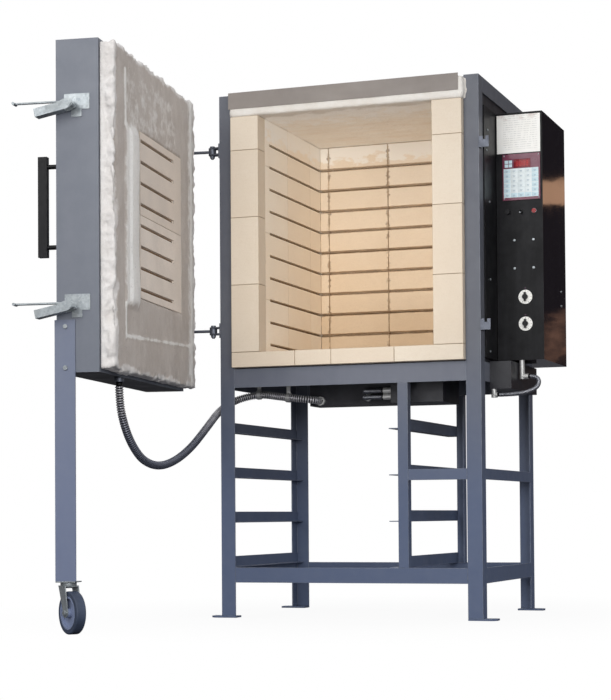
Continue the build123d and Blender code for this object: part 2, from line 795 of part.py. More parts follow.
# Control box on its two spacer rails, open to the kiln for the terminals
window_z0 = box_bottom_z + box_window_margin
window_z1 = box_top_z - box_window_margin
window_y0 = front + box_window_ends[0]
window_y1 = front + box_window_ends[1]
with BuildPart() as control_box:
    tray(box_left_x, box_right_x, panel_back_y, box_back_y, box_bottom_z, box_top_z, box_wall, "-y")
    wall_x = box_left_x + box_wall
    block(box_left_x, wall_x, window_y0, window_y1, window_z0, window_z1, mode=Mode.SUBTRACT)
    rod_z(drop_x, drop_y, box_bottom_z, box_bottom_z + box_wall, small_hose_bore / 2, mode=Mode.SUBTRACT)
    for screw_y, screw_z in side_screw_places:
        rod_x(box_right_x - box_wall, box_right_x, screw_y, screw_z, screw_hole, mode=Mode.SUBTRACT)
    rail_front_y = panel_back_y + box_rail_inset
    rail_back_y = box_back_y - box_rail_inset
    block(panel_x, box_left_x, rail_front_y, rail_front_y + box_rail_width, box_bottom_z, box_top_z)
    block(panel_x, box_left_x, rail_back_y - box_rail_width, rail_back_y, box_bottom_z, box_top_z)
finish(control_box, "control_box")

bezel_x0, bezel_z0 = on_box(controller_corner)
bezel_x1, bezel_z1 = bezel_x0 + controller_size[0], bezel_z0 + controller_size[1]
bezel_front_y = panel_front_y - bezel_wall
core_x0 = (bezel_x0 + bezel_x1 - controller_body_size[0]) / 2
core_x1 = core_x0 + controller_body_size[0]
core_z0 = (bezel_z0 + bezel_z1 - controller_body_size[1]) / 2
core_z1 = core_z0 + controller_body_size[1]
panel_lamps = [(x, z + dial_lamp_rise) for x, z in dial_places]
with BuildPart() as control_panel:
    block(box_left_x, box_right_x, panel_front_y, panel_back_y, box_bottom_z, box_top_z)
    gap = inset_gap
    block(
        core_x0 - gap, core_x1 + gap, panel_front_y, panel_back_y, core_z0 - gap, core_z1 + gap,
        mode=Mode.SUBTRACT,
    )
    for (x, z), radius in (
        [(fuse_place, fuse_radii[0] + bore_clearance), (toggle_place, toggle_bush_radii[1] + bore_clearance)]
        + [(pilot_place, pilot_radii[0] + bore_clearance)]
        + [(place, spindle_hole_radius) for place in dial_places]
        + [(place, lamp_radius + bore_clearance) for place in panel_lamps]
        + [(place, screw_hole) for place in relay_screws]
    ):
        rod_y(x, panel_front_y, panel_back_y, z, radius, mode=Mode.SUBTRACT)
finish(control_panel, "control_panel")

inset_y = bezel_front_y + inset
display_x0, display_z0 = bezel_x0 + display_corner[0], bezel_z0 + display_corner[1]
display_x1, display_z1 = display_x0 + display_size[0], display_z0 + display_size[1]
keypad_x0, keypad_z0 = bezel_x0 + keypad_corner[0], bezel_z0 + keypad_corner[1]
keypad_x1, keypad_z1 = keypad_x0 + keypad_size[0], keypad_z0 + keypad_size[1]
with BuildPart() as controller:
    block(bezel_x0, bezel_x1, bezel_front_y, panel_front_y, bezel_z0, bezel_z1)
    block(core_x0, core_x1, panel_front_y, panel_front_y + controller_body_size[2], core_z0, core_z1)
    block(
        display_x0 - gap, display_x1 + gap, bezel_front_y, inset_y, display_z0 - gap, display_z1 + gap,
        mode=Mode.SUBTRACT,
    )
    block(
        keypad_x0 - gap, keypad_x1 + gap, bezel_front_y, inset_y, keypad_z0 - gap, keypad_z1 + gap,
        mode=Mode.SUBTRACT,
    )
finish(controller, "controller")

with BuildPart() as controller_display:
    block(display_x0, display_x1, bezel_front_y, inset_y, display_z0, display_z1)
finish(controller_display, "controller_display")

with BuildPart() as controller_keypad:
    block(keypad_x0, keypad_x1, bezel_front_y, inset_y, keypad_z0, keypad_z1)
finish(controller_keypad, "controller_keypad")

with BuildPart() as panel_plates:
    plate_x, plate_z = on_box(notice_corner)
    plate_y = panel_front_y - notice_wall
    block(plate_x, plate_x + notice_size[0], plate_y, panel_front_y, plate_z, plate_z + notice_size[1])
    for x, z in dial_places:
        rod_y(x, panel_front_y - dial_wall, panel_front_y, z, dial_radius)
        rod_y(x, panel_front_y - dial_wall, panel_front_y, z, spindle_hole_radius, mode=Mode.SUBTRACT)
finish(panel_plates, "panel_plates")

# Fuse holder, toggle switch and the two rotary switches behind the dials
bush_front_y = panel_front_y - toggle_bush_proud
ball_y = bush_front_y + toggle_bush_proud - toggle_ball_inset
with BuildPart() as switch_bodies:
    rod_y(fuse_place[0], panel_front_y, panel_front_y + fuse_lengths[0], fuse_place[1], fuse_radii[0])
    rod_y(fuse_place[0], panel_front_y - fuse_lengths[1], panel_front_y, fuse_place[1], fuse_radii[1])
    tx, tz = toggle_place
    rod_y(tx, bush_front_y, panel_back_y, tz, toggle_bush_radii[1])
    half_x, half_z = toggle_body[0] / 2, toggle_body[2] / 2
    block(tx - half_x, tx + half_x, panel_back_y, panel_back_y + toggle_body[1], tz - half_z, tz + half_z)
    bore_end_y = ball_y + toggle_ball_radius + bore_clearance
    rod_y(tx, bush_front_y, bore_end_y, tz, toggle_bush_radii[0], mode=Mode.SUBTRACT)
    for x, z in dial_places:
        half_x, half_z = switch_block[0] / 2, switch_block[2] / 2
        block(x - half_x, x + half_x, panel_back_y, panel_back_y + switch_block[1], z - half_z, z + half_z)
        rod_y(x, panel_back_y, panel_back_y + switch_block[1] / 2, z, spindle_hole_radius, mode=Mode.SUBTRACT)
finish(switch_bodies, "switch_bodies")

with BuildPart() as toggle_lever:
    with Locations((tx, ball_y, tz)):
        Sphere(toggle_ball_radius)
    down = radians(toggle_down_angle)
    stick = Plane((tx, ball_y, tz), x_dir=(1, 0, 0), z_dir=(0, -cos(down), -sin(down)))
    with BuildSketch(stick):
        Circle(toggle_stick_radius)
    extrude(amount=toggle_stick_length)
    with BuildSketch(stick.offset(toggle_stick_length)):
        Circle(toggle_stick_radius + toggle_tip_swell)
    extrude(amount=toggle_tip_length)
finish(toggle_lever, "toggle_lever")

with BuildPart() as pilot_lights:
    x, z = pilot_place
    rod_y(x, panel_front_y, panel_front_y + pilot_lengths[0], z, pilot_radii[0])
    rod_y(x, panel_front_y - pilot_lengths[1], panel_front_y, z, pilot_radii[1])
    for x, z in panel_lamps:
        rod_y(x, panel_front_y - lamp_proud, panel_back_y + lamp_depth, z, lamp_radius)
finish(pilot_lights, "pilot_lights")


# Pointer knob with the spindle that turns in the switch behind the panel
def dial_knob(place, name):
    x, z = place
    seat_y = panel_front_y - dial_wall - side_play
    with BuildPart() as knob:
        rod_y(x, seat_y - knob_height, seat_y, z, knob_radius)
        block(
            x - pointer_width / 2, x + pointer_width / 2, seat_y - knob_height, seat_y - knob_height / 3,
            z - pointer_length / 2, z + pointer_length / 2,
        )
        rod_y(x, seat_y, panel_back_y + switch_block[1] / 2 - side_play, z, spindle_radius)
    finish(knob, name)


dial_knob(dial_places[0], "upper_dial_knob")
dial_knob(dial_places[1], "lower_dial_knob")

# Contactor on the back of the panel, and the transformer on the back of the box
with BuildPart() as contactors:
    low_x = min(place[0] for place in relay_screws)
    high_x = max(place[0] for place in relay_screws)
    low_z = min(place[1] for place in relay_screws)
    high_z = max(place[1] for place in relay_screws)
    mid_x, mid_z = (low_x + high_x) / 2, (low_z + high_z) / 2
    half_x, half_z = contactor_size[0] / 2, contactor_size[2] / 2
    block(
        mid_x - half_x, mid_x + half_x, panel_back_y, panel_back_y + contactor_size[1],
        mid_z - half_z, mid_z + half_z,
    )
    shelf_y = box_back_y - box_wall
    half_x = transformer_size[0] / 2
    block(
        mid_x - half_x, mid_x + half_x, shelf_y - transformer_size[1], shelf_y,
        box_bottom_z + transformer_rise, box_bottom_z + transformer_rise + transformer_size[2],
    )
finish(contactors, "contactors")

# Cover over the wiring between the post and the control box
cover_x = box_left_x - side_cover_gap
with BuildPart() as terminal_cover:
    cover_end_y = panel_front_y - joint
    tray(panel_x, cover_x, cover_front_y, cover_end_y, box_bottom_z, box_top_z, cover_wall, "-x")
    for screw_y, screw_z in cover_screw_places:
        rod_x(cover_x - cover_wall, cover_x, screw_y, screw_z, screw_hole, mode=Mode.SUBTRACT)
finish(terminal_cover, "terminal_cover")

with BuildPart() as control_screws:
    for x, z in relay_screws:
        rod_y(x, panel_front_y - screw_head_height, panel_front_y, z, screw_head)
        rod_y(x, panel_front_y, panel_back_y, z, screw_shank)
    for screw_y, screw_z in cover_screw_places:
        rod_x(cover_x, cover_x + screw_head_height, screw_y, screw_z, screw_head)
        rod_x(panel_x, cover_x, screw_y, screw_z, screw_shank)
    for screw_y, screw_z in side_screw_places:
        rod_x(box_right_x, box_right_x + screw_head_height, screw_y, screw_z, screw_head)
        rod_x(box_right_x - box_wall, box_right_x, screw_y, screw_z, screw_shank)
finish(control_screws, "control_screws")

# Boxes under the floor and beside it
with BuildPart() as junction_boxes:
    tray(left_x0, left_x1, left_y0, left_y1, left_z0, body_floor_z, junction_wall, "+z")
    wall_y = left_y0 + junction_wall
    rod_y(hose_end_x, left_y0, wall_y, hose_end_z, hose_bore / 2, mode=Mode.SUBTRACT)
    tray(right_x0, right_x1, right_y0, right_y1, right_z0, body_floor_z, junction_wall, "+z")
    for height in link_heights:
        rod_y(link_start_x, left_y0, wall_y, height, small_hose_bore / 2, mode=Mode.SUBTRACT)
        wall_x = right_x0 + junction_wall
        rod_x(right_x0, wall_x, front + link_y, height, small_hose_bore / 2, mode=Mode.SUBTRACT)
    tray(side, side_box_right_x, side_y0, side_y1, side_box_bottom_z, side_box_top_z, junction_wall, "-x")
    wall_z = side_box_bottom_z + junction_wall
    rod_z(end_x, end_y, side_box_bottom_z, wall_z, small_hose_bore / 2, mode=Mode.SUBTRACT)
finish(junction_boxes, "junction_boxes")

# Ribbed hoses between the boxes: two links under the floor and the supply beside the frame
supply_points = [
    (outlet_x, drop_y, outlet_z),
    (outlet_x + supply_straight, drop_y, outlet_z),
    (604.0, front + 192.0, 766.0),
    (570.0, front + 145.0, 743.0),
    (520.0, end_y, end_z),
    (end_x + fitting_length, end_y, end_z),
]
supply_path = route_wire(supply_points, "supply hose")
supply_hose = ribbed_hose(
    supply_path, "supply hose", small_hose_outer, small_hose_root, small_hose_bore, small_hose_pitch
)
link_hoses = []
for height in link_heights:
    link_points = [
        (link_start_x, left_y0 - fitting_length, height),
        (link_start_x, front + link_y, height),
        (link_end_x, front + link_y, height),
    ]
    link_path = route_wire(link_points, "link hose")
    link_hose = ribbed_hose(
        link_path, "link hose", small_hose_outer, small_hose_root, small_hose_bore, small_hose_pitch
    )
    link_hoses.append(link_hose.part)
with BuildPart() as wiring_conduits:
    add(supply_hose.part)
    add(link_hoses)
finish(wiring_conduits, "wiring_conduits")

# Door hose: from the gland under the door, in a hanging bow to the post, then under the floor
gland_exit = door_plane.from_local_coords((gland_a, gland_b, door_bottom_z - gland_height))
door_hose_points = [
    (gland_exit.X, gland_exit.Y, gland_exit.Z),
    (gland_exit.X, gland_exit.Y, 690.0),
    (-500.0, front - 653.0, 614.0),
    (-498.0, front - 601.0, 559.0),
    (-495.0, front - 533.0, 518.0),
    (-491.0, front - 430.0, 503.0),
    (-487.0, front - 316.0, 523.0),
    (-484.0, front - 197.0, 568.0),
    (-483.0, front - 92.0, 625.0),
    (-482.0, front + 92.0, 732.0),
    (-380.0, front + 150.0, 768.0),
    (-283.0, front + 130.0, 752.0),
    (hose_end_x, front + 128.0, hose_end_z),
    (hose_end_x, left_y0 - fitting_length, hose_end_z),
]
door_hose_path = route_wire(door_hose_points, "door hose")
door_conduit = ribbed_hose(door_hose_path, "door hose", hose_outer, hose_root, hose_bore, hose_pitch)
finish(door_conduit, "door_conduit")

with BuildPart(door_plane) as door_gland:
    rod_z(gland_a, gland_b, door_bottom_z - gland_height, door_bottom_z, fitting_radius)
    rod_z(gland_a, gland_b, door_bottom_z - gland_height, door_bottom_z, hose_bore / 2, mode=Mode.SUBTRACT)
finish(door_gland, "door_gland")

# Connectors at the ends of the hoses, and the clips that hang the door hose from the floor pan
clip_stations = [door_hose_path.length * share for share in clip_shares]
with BuildPart() as conduit_fittings:
    rod_y(hose_end_x, left_y0 - fitting_length, left_y0, hose_end_z, fitting_radius)
    for height in link_heights:
        rod_y(link_start_x, left_y0 - fitting_length, left_y0, height, link_fitting_radius)
        rod_x(link_end_x, right_x0, front + link_y, height, link_fitting_radius)
    rod_z(drop_x, drop_y, box_bottom_z - supply_drop_height, box_bottom_z, small_fitting_radius)
    rod_x(drop_x, outlet_x, drop_y, outlet_z, small_fitting_radius)
    rod_z(end_x, end_y, end_z - small_fitting_radius, side_box_bottom_z, small_fitting_radius)
    rod_x(end_x, end_x + fitting_length, end_y, end_z, small_fitting_radius)
    for station in clip_stations:
        spot = door_hose_path.position_at(station, position_mode=PositionMode.LENGTH)
        heading = door_hose_path.tangent_at(station, position_mode=PositionMode.LENGTH)
        inner_radius = hose_outer / 2 + clip_clearance
        block(
            spot.X - clip_length / 2, spot.X + clip_length / 2, spot.Y - clip_wall, spot.Y + clip_wall,
            spot.Z + inner_radius, body_floor_z,
        )
        ring = Plane(origin=spot - heading * clip_length / 2, z_dir=heading)
        with BuildSketch(ring):
            Circle(inner_radius + clip_wall)
        extrude(amount=clip_length)
        with BuildSketch(ring):
            Circle(inner_radius)
        extrude(amount=clip_length, mode=Mode.SUBTRACT)
finish(conduit_fittings, "conduit_fittings")

# Door case, open towards the kiln with a turned-in lip
case_skin = case_outer + case_wall
lip_b = case_inner - case_wall
lining_start = door_start + lining_rise
lining_end = door_end - lining_rise
lining_bottom_z = door_bottom_z + lining_rise
lining_top_z = door_top_z - lining_rise
with BuildPart(door_plane) as door_case:
    block(door_start, door_end, case_outer, case_inner, door_bottom_z, door_top_z)
    block(
        door_start + case_wall, door_end - case_wall, case_skin, lip_b,
        door_bottom_z + case_wall, door_top_z - case_wall, mode=Mode.SUBTRACT,
    )
    block(
        door_start + case_lip, door_end - case_lip, lip_b, case_inner,
        door_bottom_z + case_lip, door_top_z - case_lip, mode=Mode.SUBTRACT,
    )
    rod_z(gland_a, gland_b, door_bottom_z, door_bottom_z + case_wall, hose_bore / 2, mode=Mode.SUBTRACT)
    for bolt_z in leg_bolt_heights:
        bolt_hole = bolt_diameter / 2 + bore_clearance
        side_bolt_b = leg_heel_b + leg_bolt_inset
        rod_x(door_end - case_wall, door_end, side_bolt_b, bolt_z, bolt_hole, mode=Mode.SUBTRACT)
        rod_y(leg_heel_a - leg_bolt_inset, case_outer, case_skin, bolt_z, bolt_hole, mode=Mode.SUBTRACT)
finish(door_case, "door_case")

with BuildPart(door_plane) as door_insulation:
    block(
        door_start + case_wall, door_end - case_wall, case_skin, lip_b,
        door_bottom_z + case_wall, door_top_z - case_wall,
    )
    block(
        door_start + case_lip, door_end - case_lip, lip_b, case_inner,
        door_bottom_z + case_lip, door_top_z - case_lip,
    )
finish(door_insulation, "door_insulation")

# Fibre lining on the case, with the brick panel let into it
with BuildPart(door_plane) as door_fibre:
    block(lining_start, lining_end, case_inner, lining_face, lining_bottom_z, lining_top_z)
    gap = door_brick_gap
    block(
        door_brick_start - gap, door_brick_end + gap, case_inner, lining_face,
        door_brick_bottom_z - gap, door_brick_top_z + gap, mode=Mode.SUBTRACT,
    )
finish(door_fibre, "door_fibre")

door_rows = [door_groove_first_z + door_groove_pitch * row for row in range(door_groove_count)]
door_brick_split_z = (door_rows[3] + door_rows[4]) / 2
with BuildPart(door_plane) as door_brick_panel:
    for low_z, high_z in brick_spans(door_brick_bottom_z, door_brick_top_z, (door_brick_split_z,)):
        block(door_brick_start, door_brick_end, case_inner, lining_face, low_z, high_z)
    for height in door_rows:
        low_z, high_z = height - door_groove_height / 2, height + door_groove_height / 2
        block(
            door_groove_start, door_groove_end, lining_face - door_groove_depth, lining_face,
            low_z, high_z, mode=Mode.SUBTRACT,
        )
finish(door_brick_panel, "door_brick_panel")

with BuildPart(door_plane) as door_elements:
    for height in door_rows:
        wire_z = height - door_groove_height / 2 + door_wire / 2
        wire_b = lining_face - door_groove_depth / 2
        rod_x(door_groove_start, door_groove_end, wire_b, wire_z, door_wire / 2)
finish(door_elements, "door_elements")

# Hinges: lugs and eye bolts on the door, clevises and pins on the post
shank_hole = shank_diameter / 2 + bore_clearance
with BuildPart(door_plane) as hinge_lugs:
    for height in hinge_heights:
        low_z, high_z = height - hinge_lug_height / 2, height + hinge_lug_height / 2
        lug_inner = hinge_lug_inner - hinge_lug_wall
        block(-hinge_lug_tip, door_start, lug_inner, hinge_lug_inner, low_z, high_z)
        block(door_start - hinge_lug_wall, door_start, lug_inner - hinge_lug_foot, lug_inner, low_z, high_z)
        rod_y(0, lug_inner, hinge_lug_inner, height, shank_hole, mode=Mode.SUBTRACT)
finish(hinge_lugs, "hinge_lugs")

with BuildPart(door_plane) as hinge_eye_bolts:
    for height in hinge_heights:
        low_z, high_z = height - eye_height / 2, height + eye_height / 2
        rod_z(0, 0, low_z, high_z, eye_outer / 2)
        rod_y(0, -eye_outer / 2 - shank_length, shank_root - eye_outer / 2, height, shank_diameter / 2)
        rod_z(0, 0, low_z, high_z, pin_diameter / 2 + pin_clearance, mode=Mode.SUBTRACT)
finish(hinge_eye_bolts, "hinge_eye_bolts")

with BuildPart() as hinge_clevises:
    base_x = -side - clevis_base
    tip_y0, tip_y1 = hinge_y - eye_outer / 2, hinge_y + eye_outer / 2
    for height in hinge_heights:
        half = clevis_base_height / 2
        y0, y1 = hinge_y - clevis_depth / 2, hinge_y + clevis_depth / 2
        block(base_x, -side, y0, y1, height - half, height + half)
        for low_z in (height - clevis_gap / 2 - clevis_wall, height + clevis_gap / 2):
            with BuildSketch(Plane.XY.offset(low_z)):
                with BuildLine():
                    Polyline((base_x, y0), (hinge_x, tip_y0), (hinge_x, tip_y1), (base_x, y1), close=True)
                make_face()
                with Locations((hinge_x, hinge_y)):
                    Circle(eye_outer / 2)
                    Circle(pin_diameter / 2 + pin_clearance, mode=Mode.SUBTRACT)
            extrude(amount=clevis_wall)
finish(hinge_clevises, "hinge_clevises")

with BuildPart() as hinge_pins:
    for height in hinge_heights:
        ear_top = height + clevis_gap / 2 + clevis_wall
        ear_bottom = height - clevis_gap / 2 - clevis_wall
        rod_z(hinge_x, hinge_y, ear_bottom - pin_drop, ear_top, pin_diameter / 2)
        rod_z(hinge_x, hinge_y, ear_top, ear_top + pin_head_height, pin_head)
        rod_z(hinge_x, hinge_y, ear_bottom - nut_height, ear_bottom, nut_size / 2)
finish(hinge_pins, "hinge_pins")

# Nuts on the eye bolts, and the bolts of the door leg
with BuildPart(door_plane) as door_fasteners:
    nut_hole = shank_diameter / 2 + pin_clearance
    for height in hinge_heights:
        for nut_b in (hinge_lug_inner, hinge_lug_inner - hinge_lug_wall - nut_height):
            nut_spot = door_plane.from_local_coords((0, nut_b, height))
            nut_plane = Plane(origin=nut_spot, x_dir=(0, 0, 1), z_dir=door_plane.y_dir)
            with BuildSketch(nut_plane):
                RegularPolygon(nut_size / 2, 6, major_radius=False)
                Circle(nut_hole, mode=Mode.SUBTRACT)
            extrude(amount=nut_height)
    for bolt_z in leg_bolt_heights:
        bolt_b = leg_heel_b + leg_bolt_inset
        rod_x(door_end - case_wall, leg_heel_a, bolt_b, bolt_z, bolt_diameter / 2)
        rod_x(leg_heel_a, leg_heel_a + bolt_head_height, bolt_b, bolt_z, bolt_head)
        bolt_a = leg_heel_a - leg_bolt_inset
        rod_y(bolt_a, leg_heel_b, case_skin, bolt_z, bolt_diameter / 2)
        rod_y(bolt_a, leg_heel_b - bolt_head_height, leg_heel_b, bolt_z, bolt_head)
finish(door_fasteners, "door_fasteners")

# Latches on the free edge of the door: plate with its pivot pin, lever and T-ended rod
plate_a = door_end + latch_plate_wall
collar_end = door_end + lever_near - side_play
lever_end_a = door_end + lever_near + 2 * lever_cheek + lever_gap
with BuildPart(door_plane) as latch_plates:
    for height in latch_heights:
        low_z, high_z = height - latch_plate_down, height + latch_plate_up
        block(door_end, plate_a, latch_plate_start, latch_plate_end, low_z, high_z)
        block(door_end, plate_a, latch_tab_start, latch_tab_end, height - latch_tab_down, low_z)
        pin_end = lever_end_a + side_play
        rod_x(plate_a, pin_end, lever_pivot_b, height, lever_pin_radius)
        rod_x(plate_a, collar_end, lever_pivot_b, height, lever_pin_collar)
        rod_x(pin_end, pin_end + latch_plate_wall, lever_pivot_b, height, lever_pin_collar)
finish(latch_plates, "latch_plates")


# Lever: a channel of two cheeks, its web below; its own frame runs along the lever, up and back
def latch_lever(height, name):
    droop = radians(lever_droop)
    outward = door_plane.y_dir * -cos(droop) - Vector(0, 0, 1) * sin(droop)
    frame = Plane(
        origin=door_plane.from_local_coords((lever_end_a, lever_pivot_b, height)),
        x_dir=outward,
        z_dir=door_plane.x_dir * -1,
    )
    width = 2 * lever_cheek + lever_gap
    rod_u = rod_pivot_out * cos(droop) - rod_pivot_up * sin(droop)
    rod_v = rod_pivot_up * cos(droop) + rod_pivot_out * sin(droop)
    with BuildPart(frame) as lever:
        for start in (0, width - lever_cheek):
            with BuildSketch(frame.offset(start)):
                with BuildLine():
                    Polyline(
                        (-lever_boss, 0),
                        (-lever_boss, lever_boss),
                        (rod_u - lever_boss, rod_v + rod_boss_radius + lever_crest),
                        (rod_u + lever_boss, rod_v + rod_boss_radius + lever_crest),
                        (lever_near_height * 3, lever_far_height - lever_drop),
                        (lever_length, lever_far_height - lever_drop),
                        (lever_length, -lever_drop),
                        (lever_near_height, -lever_drop),
                        (0, -lever_boss),
                        close=True,
                    )
                make_face()
                Circle(lever_boss)
                Circle(lever_pin_radius + fit_clearance, mode=Mode.SUBTRACT)
            extrude(amount=lever_cheek)
        block(lever_web_start, lever_length, -lever_drop, lever_cheek - lever_drop, 0, width)
        block(
            lever_length - lever_cheek, lever_length, -lever_drop, lever_far_height - lever_drop, 0, width
        )
        rod_z(rod_u, rod_v, lever_cheek, width - lever_cheek, rod_pin_radius)
    finish(lever, name)


# Rod with a boss on the lever's cross pin and a T-bar on its end
def latch_rod(height, name):
    mid_a = lever_end_a - lever_cheek - lever_gap / 2
    pivot_b = lever_pivot_b - rod_pivot_out
    pivot_z = height + rod_pivot_up
    boss_half = lever_gap / 2 - side_play
    with BuildPart(door_plane) as rod:
        rod_x(mid_a - boss_half, mid_a + boss_half, pivot_b, pivot_z, rod_boss_radius)
        rod_y(mid_a, pivot_b - rod_length, pivot_b, pivot_z, rod_radius)
        rod_x(mid_a - tee_length / 2, mid_a + tee_length / 2, pivot_b - rod_length, pivot_z, tee_radius)
        hole = rod_pin_radius + fit_clearance
        rod_x(mid_a - boss_half, mid_a + boss_half, pivot_b, pivot_z, hole, mode=Mode.SUBTRACT)
    finish(rod, name)


latch_lever(latch_heights[0], "upper_latch_handle")
latch_lever(latch_heights[1], "lower_latch_handle")
latch_rod(latch_heights[0], "upper_latch_rod")
latch_rod(latch_heights[1], "lower_latch_rod")

# Keepers on the right post: a plate and a forked hook that the T-bars lie behind
tee_x = hinge_x + lever_end_a - lever_cheek - lever_gap / 2
tee_y = hinge_y + lever_pivot_b - rod_pivot_out + rod_length
hook_back_y = tee_y - tee_radius - keeper_play
with BuildPart() as latch_keepers:
    for height in latch_heights:
        axis_z = height + rod_pivot_up
        low_z, high_z = axis_z + keeper_rise - keeper_height, axis_z + keeper_rise
        hook_front_y = hook_back_y - keeper_wall
        block(side, side + keeper_base_wall, hook_front_y, hook_front_y + keeper_length, low_z, high_z)
        block(side, side + keeper_reach, hook_front_y, hook_back_y, low_z, high_z)
        slot_bottom = axis_z - keeper_slot / 2
        block(
            tee_x - keeper_slot / 2, tee_x + keeper_slot / 2, hook_front_y, hook_back_y,
            slot_bottom, high_z, mode=Mode.SUBTRACT,
        )
finish(latch_keepers, "latch_keepers")

# Pull handle, leg and caster of the door
with BuildPart(door_plane) as door_handle:
    low_a, high_a = handle_a - handle_width / 2, handle_a + handle_width / 2
    block(low_a, high_a, handle_b_out, handle_b_in, handle_bottom_z, handle_top_z)
    for post_z in (handle_bottom_z + handle_post_inset, handle_top_z - handle_post_inset):
        rod_y(handle_a, handle_b_in, case_outer, post_z, handle_post_radius)
finish(door_handle, "door_handle")

with BuildPart() as door_leg:
    heel = Plane(
        origin=door_plane.from_local_coords((leg_heel_a, leg_heel_b, caster_height)),
        x_dir=door_plane.y_dir,
        z_dir=(0, 0, 1),
    )
    angle_iron(heel, leg_size, leg_size, leg_wall, leg_top_z - caster_height)
    hole = bolt_diameter / 2 + bore_clearance
    for bolt_z in leg_bolt_heights:
        spot = door_plane.from_local_coords((leg_heel_a, leg_heel_b + leg_bolt_inset, bolt_z))
        with BuildSketch(Plane(origin=spot, z_dir=door_plane.x_dir * -1)):
            Circle(hole)
        extrude(amount=leg_wall, mode=Mode.SUBTRACT)
        spot = door_plane.from_local_coords((leg_heel_a - leg_bolt_inset, leg_heel_b, bolt_z))
        with BuildSketch(Plane(origin=spot, z_dir=door_plane.y_dir)):
            Circle(hole)
        extrude(amount=leg_wall, mode=Mode.SUBTRACT)
finish(door_leg, "door_leg")

swivel_a = leg_heel_a - caster_plate_size[0] / 2
swivel_b = leg_heel_b + caster_plate_size[1] / 2
plate_bottom_z = caster_height - caster_plate_wall
race_bottom_z = plate_bottom_z - race_height
crown_top_z = race_bottom_z - bore_clearance
crown_bottom_z = crown_top_z - fork_wall
with BuildPart(door_plane) as caster_plate:
    block(
        swivel_a - caster_plate_size[0] / 2, swivel_a + caster_plate_size[0] / 2,
        swivel_b - caster_plate_size[1] / 2, swivel_b + caster_plate_size[1] / 2,
        plate_bottom_z, caster_height,
    )
    rod_z(swivel_a, swivel_b, race_bottom_z, plate_bottom_z, race_radius)
    rod_z(swivel_a, swivel_b, crown_bottom_z - bore_clearance, race_bottom_z, king_pin_radius)
    head_top_z = crown_bottom_z - bore_clearance
    rod_z(swivel_a, swivel_b, head_top_z - king_pin_head_height, head_top_z, king_pin_head)
finish(caster_plate, "caster_plate")

swivel = door_plane.from_local_coords((swivel_a, swivel_b, 0))
trail = Vector(cos(radians(caster_trail_angle)), sin(radians(caster_trail_angle)), 0)
across = Vector(-trail.Y, trail.X, 0)
fork_frame = Plane(origin=swivel, x_dir=trail, z_dir=(0, 0, 1))
wheel_radius = wheel_diameter / 2
axle_spot = swivel + trail * caster_trail + Vector(0, 0, wheel_radius)
axle_frame = Plane(origin=axle_spot, x_dir=trail, z_dir=across)
with BuildPart(fork_frame) as caster_fork:
    half_width = fork_width / 2
    cheek_y = fork_gap / 2 + fork_wall
    block(-half_width, half_width, -cheek_y, cheek_y, crown_bottom_z, crown_top_z)
    for start in (cheek_y, -fork_gap / 2):
        with BuildSketch(Plane(origin=swivel + across * start, x_dir=trail, z_dir=across * -1)):
            with BuildLine():
                Polyline(
                    (-half_width, crown_top_z),
                    (half_width, crown_top_z),
                    (caster_trail + fork_foot, wheel_radius),
                    (caster_trail - fork_foot, wheel_radius),
                    close=True,
                )
            make_face()
            with Locations((caster_trail, wheel_radius)):
                Circle(fork_foot)
                Circle(axle_hole_radius, mode=Mode.SUBTRACT)
        extrude(amount=fork_wall)
    rod_z(0, 0, crown_bottom_z, crown_top_z, king_pin_hole_radius, mode=Mode.SUBTRACT)
finish(caster_fork, "caster_fork")

with BuildPart(axle_frame) as caster_axle:
    axle_half = fork_gap / 2 + fork_wall
    rod_z(0, 0, -axle_half, axle_half, axle_radius)
    rod_z(0, 0, -axle_half - axle_head_height, -axle_half, axle_head)
    rod_z(0, 0, axle_half, axle_half + axle_head_height, axle_head)
finish(caster_axle, "caster_axle")

tyre_inner = wheel_radius - tyre_depth
with BuildPart(axle_frame) as caster_wheel:
    rod_z(0, 0, -wheel_width / 2, wheel_width / 2, tyre_inner)
    for start in (-wheel_width / 2, wheel_width / 2 - dish_depth):
        rod_z(0, 0, start, start + dish_depth, tyre_inner - rim_wall, mode=Mode.SUBTRACT)
    rod_z(0, 0, -hub_width / 2, hub_width / 2, hub_radius)
    rod_z(0, 0, -hub_width / 2, hub_width / 2, axle_hole_radius, mode=Mode.SUBTRACT)
finish(caster_wheel, "caster_wheel")

with BuildPart(axle_frame) as caster_tyre:
    rod_z(0, 0, -wheel_width / 2, wheel_width / 2, wheel_radius)
    outer_edges = caster_tyre.edges().filter_by(GeomType.CIRCLE)
    fillet(outer_edges, tyre_round)
    rod_z(0, 0, -wheel_width / 2, wheel_width / 2, tyre_inner, mode=Mode.SUBTRACT)
finish(caster_tyre, "caster_tyre")
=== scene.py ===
import json
import math
import random

import bpy
import bmesh
from mathutils import Matrix, Vector


